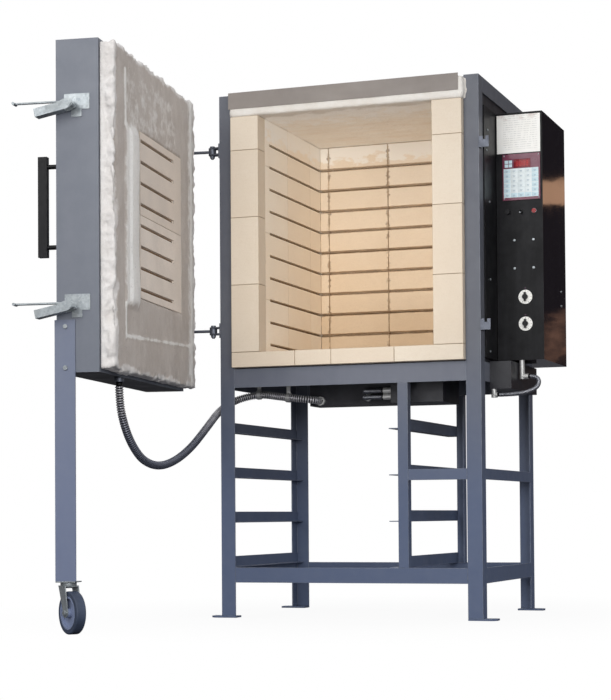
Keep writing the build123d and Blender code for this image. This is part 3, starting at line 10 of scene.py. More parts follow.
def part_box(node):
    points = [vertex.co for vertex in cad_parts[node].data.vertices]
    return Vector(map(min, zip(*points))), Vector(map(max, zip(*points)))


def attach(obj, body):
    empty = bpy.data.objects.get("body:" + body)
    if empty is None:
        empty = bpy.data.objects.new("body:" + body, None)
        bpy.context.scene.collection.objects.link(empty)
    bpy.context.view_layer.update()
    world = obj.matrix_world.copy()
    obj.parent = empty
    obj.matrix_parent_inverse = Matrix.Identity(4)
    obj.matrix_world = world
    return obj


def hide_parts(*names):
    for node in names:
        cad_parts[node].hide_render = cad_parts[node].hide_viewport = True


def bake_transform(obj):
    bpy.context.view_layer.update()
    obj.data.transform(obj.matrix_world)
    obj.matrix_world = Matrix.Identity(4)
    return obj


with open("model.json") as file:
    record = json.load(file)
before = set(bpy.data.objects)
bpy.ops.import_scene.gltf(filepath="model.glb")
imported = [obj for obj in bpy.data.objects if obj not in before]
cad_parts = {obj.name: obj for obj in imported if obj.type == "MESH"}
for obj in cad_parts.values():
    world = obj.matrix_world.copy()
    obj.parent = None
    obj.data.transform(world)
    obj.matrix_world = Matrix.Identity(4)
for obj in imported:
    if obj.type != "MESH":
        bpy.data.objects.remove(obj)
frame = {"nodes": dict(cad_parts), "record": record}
nodes = frame["nodes"]
record = frame["record"]
bodyOf = {node: body for body, members in record["behaviour"]["bodies"].items() for node in members}
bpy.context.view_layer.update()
print("frame loaded:", len(nodes), "nodes")

front = -0.36195  # the frame's front face in Y
hingeSpot = Vector((-0.490, front + 0.018, 0))
openAngle = math.radians(82)
doorAlong = Vector((math.cos(openAngle), -math.sin(openAngle), 0))
doorInward = Vector((math.sin(openAngle), math.cos(openAngle), 0))


def doorPoint(a, b, z):  # along the door, through it, and up, in metres
    return hingeSpot + doorAlong * a + doorInward * b + Vector((0, 0, z))


def inScene(name, data):
    obj = bpy.data.objects.new(name, data)
    bpy.context.scene.collection.objects.link(obj)
    return obj


def selectOnly(*objs):
    bpy.ops.object.select_all(action="DESELECT")
    for obj in objs:
        obj.select_set(True)
    bpy.context.view_layer.objects.active = objs[-1]


def applyModifiers(obj):
    selectOnly(obj)
    for modifier in list(obj.modifiers):
        bpy.ops.object.modifier_apply(modifier=modifier.name)


def smoothed(obj, angle):
    selectOnly(obj)
    bpy.ops.object.shade_smooth_by_angle(angle=math.radians(angle))


def paint(obj, material, edges=None):
    marked = [face.material_index for face in obj.data.polygons]
    obj.data.materials.clear()
    obj.data.materials.append(material)
    if edges:
        obj.data.materials.append(edges)
        obj.data.polygons.foreach_set("material_index", marked)


# Camera where the photograph was taken from
cameraSet = {"spot": (1.97843, -6.12415, 0.34322), "yaw": 19.81, "pitch": 1.5, "roll": -0.41, "lens": 94.48,
             "sensor": 36, "shift": (-0.0216, 0.1682), "reach": 60}
yaw, pitch, roll = (math.radians(cameraSet[key]) for key in ("yaw", "pitch", "roll"))
ahead = Vector((-math.sin(yaw), math.cos(yaw), 0))
across = Vector((math.cos(yaw), math.sin(yaw), 0))
viewAhead = ahead * math.cos(pitch) + Vector((0, 0, 1)) * math.sin(pitch)
viewUp = Vector((0, 0, 1)) * math.cos(pitch) - ahead * math.sin(pitch)
viewRight = across * math.cos(roll) + viewUp * math.sin(roll)
viewTop = viewUp * math.cos(roll) - across * math.sin(roll)
cameraData = bpy.data.cameras.new("camera")
cameraData.sensor_fit = "VERTICAL"
cameraData.sensor_height = cameraSet["sensor"]
cameraData.lens = cameraSet["lens"]
cameraData.shift_x, cameraData.shift_y = cameraSet["shift"]
cameraData.clip_end = cameraSet["reach"]
camera = inScene("camera", cameraData)
facingTurn = Matrix((viewRight, viewTop, -viewAhead)).transposed().to_4x4()
camera.matrix_world = Matrix.Translation(cameraSet["spot"]) @ facingTurn
bpy.context.scene.camera = camera
bpy.context.scene.view_settings.view_transform = "Standard"
print("camera placed")


# Material parts. A socket or node that is passed in says which node tree a new node goes to
def srgb(red, green, blue):
    return tuple(((c / 255 + 0.055) / 1.055) ** 2.4 if c > 10 else c / 3295 for c in (red, green, blue))


def newMaterial(name, *settings):  # in the settings, a tuple with a number above 1 is an sRGB colour
    look = {}
    for part in settings:
        look.update(part)
    for key, value in look.items():
        if isinstance(value, tuple) and max(value) > 1:
            look[key] = srgb(*value)
    material = bpy.data.materials.new(name)
    material.use_nodes = True
    shader = material.node_tree.nodes["Principled BSDF"]
    return material, shader, look, place(shader)


def add(near, kind, **values):
    node = near.id_data.nodes.new(kind)
    for key, value in values.items():
        setattr(node, key, value)
    return node


def wire(source, target):
    source.id_data.links.new(source, target)


def feed(socket, value):  # a number, a colour or the output of a node
    if isinstance(value, (int, float)):
        socket.default_value = value
    elif isinstance(value, tuple):
        socket.default_value = (*value, 1)
    else:
        wire(value, socket)


def give(node, values):  # by the name or the number of the socket
    for key, value in values.items():
        feed(node.inputs[key], value)
    return node


def outputAmong(*values):
    return next(value for value in values if hasattr(value, "id_data"))


def place(near):
    return add(near, "ShaderNodeTexCoord").outputs["Object"]


def axes(vector):
    return give(add(vector, "ShaderNodeSeparateXYZ"), {"Vector": vector}).outputs


def facingUp(near):
    return axes(add(near, "ShaderNodeNewGeometry").outputs["Normal"])["Z"]


def marking(near, name):  # a value that the mesh carries
    return add(near, "ShaderNodeAttribute", attribute_name=name).outputs["Fac"]


def noise(vector, scale, detail=5.0, roughness=0.55, stretch=None):
    if stretch:
        mapping = add(vector, "ShaderNodeMapping")
        mapping.inputs["Scale"].default_value = stretch
        wire(vector, mapping.inputs["Vector"])
        vector = mapping.outputs["Vector"]
    settings = {"Vector": vector, "Scale": scale, "Detail": detail, "Roughness": roughness}
    return give(add(vector, "ShaderNodeTexNoise"), settings).outputs["Fac"]


def cells(vector, scale):
    return give(add(vector, "ShaderNodeTexVoronoi"), {"Vector": vector, "Scale": scale}).outputs


def ranged(value, low, high, toLow=0.0, toHigh=1.0, kind="LINEAR"):
    node = add(value, "ShaderNodeMapRange", interpolation_type=kind)
    give(node, {"Value": value, "From Min": low, "From Max": high, "To Min": toLow, "To Max": toHigh})
    return node.outputs["Result"]


def cloudy(vector, grain, low, high, toLow=0.0, toHigh=1.0, stretch=None):  # noise, cut to a range
    return ranged(noise(vector, *grain, stretch=stretch), low, high, toLow, toHigh)


def mixed(factor, first, second, blend="MIX"):
    node = add(outputAmong(factor, first, second), "ShaderNodeMix", data_type="RGBA", blend_type=blend)
    return give(node, {"Factor": factor, 6: first, 7: second}).outputs[2]


def maths(kind, first, second=0):
    node = add(outputAmong(first, second), "ShaderNodeMath", operation=kind)
    return give(node, {0: first, 1: second}).outputs[0]


def times(first, *others):
    for other in others:
        first = maths("MULTIPLY", first, other)
    return first


def tinted(mask, amount, colour, tint):
    return mixed(times(mask, amount), colour, tint)


def bumped(shader, layers):  # each layer is a height, a strength and a distance in metres
    normal = None
    for height, strength, distance in layers:
        bump = add(shader, "ShaderNodeBump")
        give(bump, {"Strength": strength, "Distance": distance, "Height": height})
        if normal:
            wire(normal, bump.inputs["Normal"])
        normal = bump.outputs["Normal"]
    wire(normal, shader.inputs["Normal"])


# Enamel: brushed or sprayed paint with soft patches, orange peel, dust and worn edges
enamelBase = {
    "patch": 2.2, "streaks": 0.18, "streak": (1, 1, 0.12), "wear": 0.04, "dust": 0.06,
    "rough": (0.36, 0.52), "peel": 260, "peeling": 0.06, "coat": 0.0, "coatRough": 0.08, "gleam": 0.5,
}


def enamel(name, settings):
    material, shader, look, spot = newMaterial(name, enamelBase, settings)
    patches = ranged(noise(spot, look["patch"], 4, 0.45), 0.25, 0.75, kind="SMOOTHSTEP")
    colour = mixed(patches, look["colour"], look["second"])
    brushed = cloudy(spot, (26, 4), 0.4, 0.7, stretch=look["streak"])
    colour = tinted(brushed, look["streaks"], colour, look["streaked"])
    if "lowColour" in look:  # bluer towards the floor
        low = ranged(axes(spot)["Z"], 0.3, 1.0, 1, 0, "SMOOTHSTEP")
        colour = mixed(low, colour, look["lowColour"])
    colour = mixed(cloudy(spot, (30, 6), 0.4, 0.64, 0, look["wear"]), colour, look["worn"])
    specks = cloudy(spot, (240, 3, 0.7), 0.66, 0.74)
    colour = tinted(specks, look["dust"], colour, look["dusted"])
    if "under" in look:  # faces turned down are painted dark: painted shade on the undersides
        colour = mixed(ranged(facingUp(shader), -0.7, -0.4, 1, 0), colour, look["under"])
    give(shader, {"Base Color": colour, "Roughness": cloudy(spot, (14, 5), 0.3, 0.7, *look["rough"]),
                  "Coat Weight": look["coat"], "Coat Roughness": look["coatRough"],
                  "Specular IOR Level": look["gleam"]})
    peel = noise(spot, look["peel"], 2)
    bumped(shader, [(peel, look["peeling"], 0.0008), (noise(spot, 18, 2), 0.03, 0.002)])
    return material


# Fire brick: fine pores, larger pits, saw marks and a tone for each brick
brickBase = {"cloud": 0.25}


def fireBrick(name, settings):
    material, shader, look, spot = newMaterial(name, brickBase, settings)
    colour = mixed(marking(shader, "tone"), look["light"], look["dark"])
    colour = tinted(cloudy(spot, (9, 6, 0.6), 0.35, 0.7), look["cloud"], colour, look["stain"])
    saw = cloudy(spot, (34, 5, 0.6), 0.45, 0.75, stretch=(1, 1, 7))
    colour = tinted(saw, 0.22, colour, look["stain"])
    grain = noise(spot, 420, 3, 0.75)
    pores = ranged(grain, 0.52, 0.7)
    colour = tinted(pores, 0.3, colour, look["pore"])
    pits = ranged(cells(spot, 240)["Distance"], 0.06, 0.2, 1, 0)
    holes = times(pits, cloudy(spot, (70, 2), 0.52, 0.6))
    colour = tinted(holes, 0.6, colour, look["pore"])
    colour = mixed(cloudy(spot, (30, 6, 0.65), 0.6, 0.74, 0, 0.12), colour, look["rim"])
    if "frost" in look:  # whitened where the roof's fibre and cement reach down the walls
        ragged = cloudy(spot, (16, 6, 0.6), 0.3, 0.7, -0.03, 0.03, stretch=(1, 1, 2))
        height = maths("ADD", axes(spot)["Z"], ragged)
        strong = times(ranged(height, 1.628, 1.652), 0.85)
        faint = ranged(height, 1.2, 1.68, 0, 0.3)
        colour = mixed(maths("MAXIMUM", strong, faint), colour, look["frost"])
    if "soot" in look:  # scorched in spots along the upright joints at these places in X
        torn = cloudy(spot, (60, 5, 0.65), 0.3, 0.7, -0.007, 0.007)
        spots = cloudy(spot, (19, 4, 0.6), 0.42, 0.56)
        for middle in look["soot"]:
            apart = maths("ABSOLUTE", maths("SUBTRACT", axes(spot)["X"], middle))
            beside = ranged(maths("ADD", apart, torn), 0.001, 0.006, 1, 0)
            colour = mixed(times(beside, spots, 0.75), colour, look["sootColour"])
    if "breaks" in look:  # stretches of a joint that are clean
        colour = tinted(cloudy(spot, (22, 5, 0.6), 0.5, 0.6), 0.85, colour, look["breaks"])
    if "level" in look:  # level joints and groove lips are painted lighter than upright joints: painted light over the shade of the grooves
        level = ranged(maths("ABSOLUTE", facingUp(shader)), 0.2, 0.5)
        colour = mixed(level, colour, look["level"])
    rough = ranged(pores, 0, 1, 0.86, 0.97)
    give(shader, {"Base Color": colour, "Roughness": rough, "Specular IOR Level": 0.22})
    whole = maths("SUBTRACT", 1.0, holes)
    bumped(shader, [(whole, 0.5, 0.0012), (grain, 0.35, 0.0008), (noise(spot, 60, 4), 0.2, 0.0015)])
    return material


# Ceramic fibre: matted and off-white, browned by heat and streaked with cement where its marks say so
def fibreMat(name, settings):
    material, shader, look, spot = newMaterial(name, settings)
    tears = cloudy(spot, (11, 6, 0.62), 0.3, 0.7, -0.42, 0.42)
    burnt = ranged(maths("ADD", marking(shader, "scorch"), tears), 0.36, 0.56)
    white = mixed(cloudy(spot, (14, 6, 0.65), 0.35, 0.7), look["white"], look["cream"])
    brown = mixed(cloudy(spot, (look["patch"], 6, 0.6), 0.32, 0.7), look["brown"], look["deep"])
    streaks = cloudy(spot, (17, 7, 0.68), 0.42, 0.66, stretch=look["streak"])
    brown = tinted(streaks, look["streaky"], brown, look["pale"])
    thin = cloudy(spot, (42, 6, 0.7), 0.5, 0.72, stretch=look["streak"])
    brown = tinted(thin, look["streaky"] * 0.7, brown, look["bright"])
    smears = maths("ADD", marking(shader, "pale"), cloudy(spot, (24, 6, 0.65), 0.3, 0.7, -0.3, 0.3))
    brown = tinted(ranged(smears, 0.3, 0.7), 0.9, brown, look["chalk"])
    colour = mixed(burnt, white, brown)
    fuzz = noise(spot, 150, 6, 0.7)
    colour = mixed(ranged(fuzz, 0.5, 0.75, 0, 0.3), colour, look["shade"])
    pits = cloudy(spot, (75, 3, 0.6), 0.7, 0.76)
    colour = mixed(times(pits, burnt, 0.5), colour, look["pit"])
    give(shader, {"Base Color": colour, "Roughness": ranged(fuzz, 0.3, 0.7, 0.88, 1.0),
                  "Specular IOR Level": 0.15, "Sheen Weight": 0.2, "Sheen Roughness": 0.6})
    bumped(shader, [(noise(spot, 24, 7, 0.65), 0.7, 0.009), (streaks, 0.25, 0.003), (fuzz, 0.6, 0.003),
                    (noise(spot, 520, 4, 0.8), 0.4, 0.0008)])
    return material


# Bare and plated metal, with fine scratches, spangle and dulled patches
metalBase = {"spangle": 260, "flake": 0.15, "grime": 0.4}


def metal(name, settings):
    material, shader, look, spot = newMaterial(name, metalBase, settings)
    colour = mixed(cloudy(spot, (40, 6, 0.65), 0.35, 0.7), look["colour"], look["second"])
    grey = give(add(spot, "ShaderNodeRGBToBW"), {"Color": cells(spot, look["spangle"])["Color"]})
    colour = mixed(look["flake"], colour, grey.outputs["Val"], "SOFT_LIGHT")
    grime = cloudy(spot, (16, 7, 0.7), 0.5, 0.75)
    colour = tinted(grime, look["grime"], colour, look["grimy"])
    if "lowColour" in look:  # the hose's lowest bend is duller
        low = ranged(axes(spot)["Z"], 0.58, 0.74, 1, 0, "SMOOTHSTEP")
        colour = mixed(low, colour, look["lowColour"])
    if "grooveDirtAndShade" in look:  # dirt and painted shade in the grooves of a ribbed hose
        colour = mixed(ranged(marking(shader, "crest"), 0.1, 0.75), look["grooveDirtAndShade"], colour)
    scratch = noise(spot, 300, 5, 0.7, stretch=(1, 1, 0.05))
    rough = maths("ADD", ranged(scratch, 0.3, 0.7, *look["rough"]), times(grime, 0.18))
    give(shader, {"Base Color": colour, "Metallic": look["metallic"], "Roughness": rough})
    bumped(shader, [(scratch, 0.12, 0.0004), (noise(spot, 90, 4), 0.12, 0.0008)])
    return material


# Moulded plastic, rubber, glass and printed sheet
mouldedBase = {"specks": 0.1, "grain": 500, "grainy": 0.12, "gleam": 0.5}


def moulded(name, settings):
    material, shader, look, spot = newMaterial(name, mouldedBase, settings)
    colour = mixed(cloudy(spot, (look["patch"], 5), 0.35, 0.7), look["colour"], look["second"])
    specks = cloudy(spot, (500, 2, 0.7), 0.64, 0.72)
    colour = tinted(specks, look["specks"], colour, look["speckled"])
    if "lowColour" in look:  # the two small lenses above the dials are smoky, the higher one is red
        colour = mixed(ranged(axes(spot)["Z"], 1.2, 1.3), look["lowColour"], colour)
    rough = cloudy(spot, (90, 4), 0.3, 0.7, *look["rough"])
    give(shader, {"Base Color": colour, "Roughness": rough, "Specular IOR Level": look["gleam"]})
    if "coat" in look:
        give(shader, {"Coat Weight": look["coat"], "Coat Roughness": 0.05})
    if "glow" in look:
        give(shader, {"Emission Color": look["glow"], "Emission Strength": look["glowStrength"]})
    bumped(shader, [(noise(spot, look["grain"], 3), look["grainy"], 0.0006)])
    return material


framePaint = enamel("framePaint", {
    "colour": (92, 95, 103), "second": (85, 88, 98), "lowColour": (89, 102, 130),
    "streaked": (104, 108, 118), "worn": (142, 146, 152), "dusted": (150, 152, 156),
})
# The door's colour for faces turned down is painted shade
doorPaint = enamel("doorPaint", {
    "colour": (112, 117, 127), "second": (104, 109, 120), "under": (24, 25, 30), "patch": 1.8,
    "streaks": 0.15, "streaked": (124, 127, 136), "worn": (162, 165, 170), "dusted": (158, 160, 164),
    "rough": (0.34, 0.5),
})
legPaint = enamel("legPaint", {
    "colour": (117, 124, 142), "second": (109, 117, 137), "lowColour": (108, 118, 144),
    "streaked": (124, 130, 144), "worn": (150, 154, 162), "dusted": (156, 158, 164),
})
# The beam's colour for faces turned down is painted shade
beamPaint = enamel("beamPaint", {
    "colour": (103, 107, 119), "second": (95, 100, 113), "under": (40, 42, 50), "streaked": (114, 118, 128),
    "worn": (148, 152, 158), "dusted": (152, 154, 158),
})
glossBlack = enamel("glossBlack", {
    "colour": (10, 9, 12), "second": (15, 13, 16), "patch": 4, "streaks": 0.15, "streaked": (40, 38, 42),
    "worn": (92, 92, 96), "dusted": (84, 82, 84), "rough": (0.05, 0.1), "peel": 220, "peeling": 0.03,
    "coat": 0.6, "coatRough": 0.03, "gleam": 0.3,
})
satinBlack = enamel("satinBlack", {
    "colour": (9, 9, 12), "second": (13, 13, 16), "patch": 5, "streaks": 0.2, "streaked": (54, 54, 58),
    "worn": (96, 96, 100), "dusted": (92, 92, 94), "rough": (0.3, 0.45), "peel": 300, "gleam": 0.16,
})
darkPaint = enamel("darkPaint", {
    "colour": (24, 24, 32), "second": (18, 18, 25), "patch": 5, "streaks": 0.15, "streaked": (52, 54, 64),
    "worn": (112, 114, 122), "dusted": (110, 110, 114), "rough": (0.32, 0.48),
})
lintelPaint = enamel("lintelPaint", {
    "colour": (142, 134, 127), "second": (130, 122, 116), "patch": 3, "streaks": 0.25,
    "streaked": (112, 106, 102), "streak": (0.2, 1, 1), "worn": (182, 176, 168), "dusted": (186, 178, 168),
    "rough": (0.42, 0.6),
})
# Finishes for the softened edges, lighter than the faces: partly wear, partly painted highlight where the
# edges catch the light
edgeWearAndHighlightFrame = enamel("edgeWearAndHighlightFrame", {
    "colour": (116, 121, 132), "second": (96, 101, 113), "lowColour": (94, 104, 126), "patch": 20,
    "streaks": 0.2, "streaked": (128, 132, 140), "wear": 0.5, "worn": (146, 150, 156),
    "dusted": (158, 160, 164), "rough": (0.3, 0.46),
})
edgeWearAndHighlightDoor = enamel("edgeWearAndHighlightDoor", {
    "colour": (126, 130, 140), "second": (112, 117, 128), "patch": 20, "streaks": 0.2,
    "streaked": (138, 142, 150), "wear": 0.5, "worn": (158, 161, 166), "dusted": (158, 160, 164),
    "rough": (0.3, 0.46),
})
edgeWearAndHighlightBlack = enamel("edgeWearAndHighlightBlack", {
    "colour": (40, 39, 43), "second": (26, 25, 29), "patch": 24, "streaks": 0.2, "streaked": (58, 57, 62),
    "wear": 0.45, "worn": (92, 92, 98), "dusted": (92, 92, 94), "rough": (0.22, 0.36),
})
chamberBrick = fireBrick("chamberBrick", {
    "light": (239, 220, 194), "dark": (229, 205, 173), "stain": (216, 191, 159), "pore": (184, 154, 121),
    "rim": (242, 232, 214), "frost": (247, 242, 233), "soot": (-0.2706, -0.042, 0.1866),
    "sootColour": (122, 92, 66),
})
# Side walls: the same brick as the back wall, painted lighter: painted light for the light that the side
# walls lack
sideBrickPaintedLight = fireBrick("sideBrickPaintedLight", {
    "light": (253, 243, 226), "dark": (249, 234, 212), "stain": (240, 221, 197), "pore": (212, 186, 156),
    "rim": (252, 246, 234), "frost": (252, 249, 243),
})
# The joints' colour for level faces is painted light on the groove lips
chamberJoint = fireBrick("chamberJoint", {
    "light": (178, 146, 112), "dark": (120, 92, 68), "cloud": 0.6, "stain": (206, 178, 146),
    "pore": (96, 72, 52), "rim": (200, 176, 148), "frost": (226, 212, 192), "level": (232, 208, 176),
    "breaks": (236, 212, 180),
})
faceBrick = fireBrick("faceBrick", {
    "light": (227, 215, 197), "dark": (219, 204, 184), "stain": (212, 194, 171), "pore": (188, 168, 144),
    "rim": (236, 229, 217),
})
faceJoint = fireBrick("faceJoint", {
    "light": (196, 178, 154), "dark": (170, 150, 126), "cloud": 0.5, "stain": (214, 198, 174),
    "pore": (140, 118, 94), "rim": (226, 214, 196),
})
doorBrick = fireBrick("doorBrick", {
    "light": (245, 235, 224), "dark": (235, 224, 212), "cloud": 0.6, "stain": (219, 210, 200),
    "pore": (186, 171, 156), "rim": (247, 238, 227),
})
# The door joints' colour for level faces is painted light
doorJoint = fireBrick("doorJoint", {
    "light": (200, 186, 170), "dark": (150, 130, 112), "cloud": 0.5, "stain": (176, 160, 144),
    "pore": (112, 92, 76), "rim": (216, 204, 188), "level": (216, 202, 186),
})
doorFibreMat = fibreMat("doorFibre", {
    "white": (234, 231, 228), "cream": (220, 215, 210), "brown": (197, 188, 180), "deep": (181, 171, 162),
    "patch": 5, "pale": (209, 202, 195), "bright": (221, 215, 208), "chalk": (247, 246, 242),
    "shade": (176, 170, 163), "pit": (84, 76, 70), "streak": (0.8, 0.8, 0.5), "streaky": 0.5,
})
roofFibreMat = fibreMat("roofFibre", {
    "white": (234, 230, 223), "cream": (222, 215, 205), "brown": (250, 242, 229), "deep": (241, 228, 211),
    "patch": 7, "pale": (250, 244, 234), "bright": (254, 251, 245), "chalk": (254, 252, 248),
    "shade": (228, 217, 203), "pit": (170, 150, 128), "streak": (0.22, 1, 1), "streaky": 0.8,
})
boardMat = fibreMat("backupBoard", {
    "white": (222, 216, 204), "cream": (210, 202, 188), "brown": (190, 180, 164), "deep": (180, 168, 150),
    "patch": 7, "pale": (206, 198, 186), "bright": (214, 208, 196), "chalk": (218, 212, 202),
    "shade": (176, 168, 156), "pit": (140, 130, 116), "streak": (1, 1, 1), "streaky": 0.4,
})
wireMetal = metal("elementWire", {
    "colour": (150, 118, 88), "second": (118, 90, 66), "spangle": 300, "flake": 0.2, "grime": 0.5,
    "grimy": (60, 50, 44), "metallic": 0.7, "rough": (0.55, 0.75),
})
zincPlate = metal("zincPlate", {
    "colour": (168, 174, 177), "second": (146, 153, 157), "spangle": 160, "flake": 0.3, "grime": 0.3,
    "grimy": (128, 126, 116), "metallic": 0.6, "rough": (0.3, 0.46),
})
plainSteel = metal("plainSteel", {
    "colour": (150, 152, 156), "second": (128, 130, 136), "grimy": (96, 90, 84), "metallic": 0.9,
    "rough": (0.3, 0.48),
})
darkSteel = metal("darkSteel", {
    "colour": (108, 112, 122), "second": (90, 94, 104), "grimy": (52, 50, 52), "metallic": 0.7,
    "rough": (0.34, 0.52),
})
castFitting = metal("castFitting", {
    "colour": (206, 206, 204), "second": (184, 184, 184), "spangle": 220, "grime": 0.35,
    "grimy": (120, 118, 114), "metallic": 0.6, "rough": (0.36, 0.55),
})
# The hoses' groove colour is dirt and painted shade
hoseMetal = metal("hoseMetal", {
    "colour": (176, 178, 184), "second": (150, 152, 160), "grime": 0.45, "grimy": (84, 84, 88),
    "grooveDirtAndShade": (60, 60, 66), "metallic": 0.85, "rough": (0.24, 0.4),
})
darkHose = metal("darkHose", {
    "colour": (206, 204, 206), "second": (158, 158, 166), "lowColour": (104, 108, 122), "grime": 0.35,
    "grimy": (70, 70, 78), "grooveDirtAndShade": (12, 11, 15), "metallic": 0.55, "rough": (0.3, 0.44),
})
blackPlastic = moulded("blackPlastic", {
    "colour": (16, 16, 19), "second": (22, 22, 25), "patch": 40, "specks": 0.2, "speckled": (70, 70, 72),
    "rough": (0.34, 0.5), "grain": 420, "grainy": 0.2, "gleam": 0.25,
})
tyreRubber = moulded("tyreRubber", {
    "colour": (50, 60, 79), "second": (64, 76, 99), "patch": 22, "specks": 0.35,
    "speckled": (110, 112, 116), "rough": (0.5, 0.68), "grain": 300, "grainy": 0.3,
})
wheelCore = moulded("wheelCore", {
    "colour": (136, 147, 176), "second": (118, 131, 160), "patch": 26, "specks": 0.3,
    "speckled": (60, 64, 74), "rough": (0.36, 0.52), "grain": 260, "grainy": 0.25,
})
maroonFace = moulded("maroonFace", {
    "colour": (112, 34, 66), "second": (100, 28, 58), "patch": 20, "specks": 0.12,
    "speckled": (150, 90, 110), "rough": (0.26, 0.38), "grainy": 0.1, "coat": 0.3,
})
displayGlass = moulded("displayGlass", {
    "colour": (132, 9, 26), "second": (110, 6, 20), "patch": 30, "speckled": (190, 50, 50),
    "rough": (0.14, 0.22), "grain": 300, "grainy": 0.03, "coat": 0.2, "gleam": 0.2,
})
segmentGlow = moulded("segmentGlow", {
    "colour": (236, 60, 52), "second": (222, 46, 42), "patch": 30, "speckled": (220, 80, 70),
    "rough": (0.2, 0.3), "grain": 300, "grainy": 0.03, "glow": (190, 24, 24), "glowStrength": 0.12,
})
keyFilm = moulded("keyFilm", {
    "colour": (206, 228, 234), "second": (192, 218, 228), "patch": 24, "specks": 0.15,
    "speckled": (160, 190, 204), "rough": (0.3, 0.42),
})
keyBase = moulded("keyBase", {
    "colour": (232, 240, 240), "second": (222, 232, 234), "patch": 24, "specks": 0.12,
    "speckled": (190, 200, 204), "rough": (0.3, 0.42),
})
printInk = moulded("printInk", {
    "colour": (46, 46, 50), "second": (58, 58, 62), "patch": 60, "specks": 0.2, "speckled": (96, 96, 98),
    "rough": (0.45, 0.6), "grainy": 0.1,
})
keyInk = moulded("keyInk", {
    "colour": (126, 150, 166), "second": (140, 164, 178), "patch": 60, "specks": 0.2,
    "speckled": (96, 120, 140), "rough": (0.4, 0.55), "grainy": 0.1,
})
lampRed = moulded("lampRed", {
    "colour": (168, 14, 26), "second": (140, 8, 18), "lowColour": (70, 52, 66), "patch": 60,
    "speckled": (220, 90, 90), "rough": (0.14, 0.24), "grain": 300, "grainy": 0.05, "coat": 0.2,
    "gleam": 0.2,
})
glazedClay = moulded("glazedClay", {
    "colour": (230, 226, 214), "second": (218, 212, 198), "patch": 40, "specks": 0.2,
    "speckled": (176, 168, 150), "rough": (0.2, 0.35), "grain": 200, "grainy": 0.1,
})

# Notice plate: enamelled sheet with faint ruled lines, no lettering
noticeSet = {"pitch": 0.0074, "left": 0.486, "right": 0.601, "low": 1.562, "stained": 1.661,
             "field": (250, 249, 244), "aged": (243, 241, 233), "ink": (150, 150, 148), "rust": (150, 96, 84)}


def noticeFinish():
    material, shader, look, spot = newMaterial("noticeSheet", noticeSet)
    x, z = axes(spot)["X"], axes(spot)["Z"]
    rows = ranged(maths("SINE", times(z, 2 * math.pi / look["pitch"])), 0.55, 0.85)
    words = cloudy(spot, (160, 3), 0.42, 0.5, stretch=(1, 1, 0.2))
    begun = ranged(x, look["left"], look["left"] + 0.003)
    ended = ranged(x, look["right"], look["right"] + 0.003, 1, 0)
    ruled = times(rows, words, begun, ended, ranged(z, look["low"], look["low"] + 0.002))
    colour = mixed(cloudy(spot, (12, 5), 0.35, 0.7), look["field"], look["aged"])
    colour = tinted(ruled, 0.45, colour, look["ink"])
    smudge = cloudy(spot, (40, 6, 0.7), 0.5, 0.7)
    upper = ranged(z, look["stained"], look["stained"] + 0.001)
    colour = mixed(times(upper, smudge, 0.6), colour, look["rust"])
    give(shader, {"Base Color": colour, "Roughness": cloudy(spot, (60, 4), 0.3, 0.7, 0.3, 0.42)})
    bumped(shader, [(noise(spot, 260, 3), 0.1, 0.0006)])
    return material


noticeSheet = noticeFinish()
print("finishes made:", len(bpy.data.materials))


def settle(piece, node, material, edges=None):  # rides on the node's body and stands for it
    paint(piece, material, edges)
    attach(piece, bodyOf[node])
    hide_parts(node)


# Tubes that are built from rings of points along a path
def pathMarks(path):  # the length from the start to each point
    marks = [0.0]
    for before, here in zip(path[:-1], path[1:]):
        marks.append(marks[-1] + (here - before).length)
    return marks


def pathSpots(path, marks, wanted):  # the step and the spot at each wanted length, which only rises
    index = 0
    for mark in wanted:
        while index < len(marks) - 2 and marks[index + 1] < mark:
            index += 1
        share = (mark - marks[index]) / (marks[index + 1] - marks[index])
        yield index, path[index].lerp(path[index + 1], share)


def addRing(shape, last, centre, first, second, radius, sides):
    ring = []
    for count in range(sides):
        angle = 2 * math.pi * count / sides
        ring.append(shape.verts.new(centre + (first * math.cos(angle) + second * math.sin(angle)) * radius))
    if last:
        for count in range(sides):
            following = (count + 1) % sides
            shape.faces.new((last[count], last[following], ring[following], ring[count]))
    else:
        shape.faces.new(list(reversed(ring)))
    return ring


def tubeObject(name, shape):
    for face in shape.faces:
        face.smooth = True
    bmesh.ops.recalc_face_normals(shape, faces=shape.faces)
    mesh = bpy.data.meshes.new(name)
    shape.to_mesh(mesh)
    shape.free()
    return inScene(name, mesh)


# Ribbed hoses along the routes of the model, read from a smooth spline
def cordAt(x, y, z):  # y is counted from the frame's front face, all in millimetres
    return Vector((x / 1000, y / 1000 + front, z / 1000))


def hoseLine(points, name):
    curve = bpy.data.curves.new(name + "Line", "CURVE")
    curve.dimensions = "3D"
    spline = curve.splines.new("NURBS")
    spline.points.add(len(points) - 1)
    for target, point in zip(spline.points, points):
        target.co = (*point, 1)
    spline.order_u = 3
    spline.use_endpoint_u = True
    spline.resolution_u = 24
    holder = inScene(name + "Line", curve)
    line = bpy.data.meshes.new_from_object(holder)
    path = [vertex.co.copy() for vertex in line.vertices]
    bpy.data.objects.remove(holder)
    bpy.data.meshes.remove(line)
    return path


ribShape = ((0.12, 0), (0.3, 0.85), (0.5, 1), (0.7, 0.85), (0.88, 0))  # shares of the pitch and the height


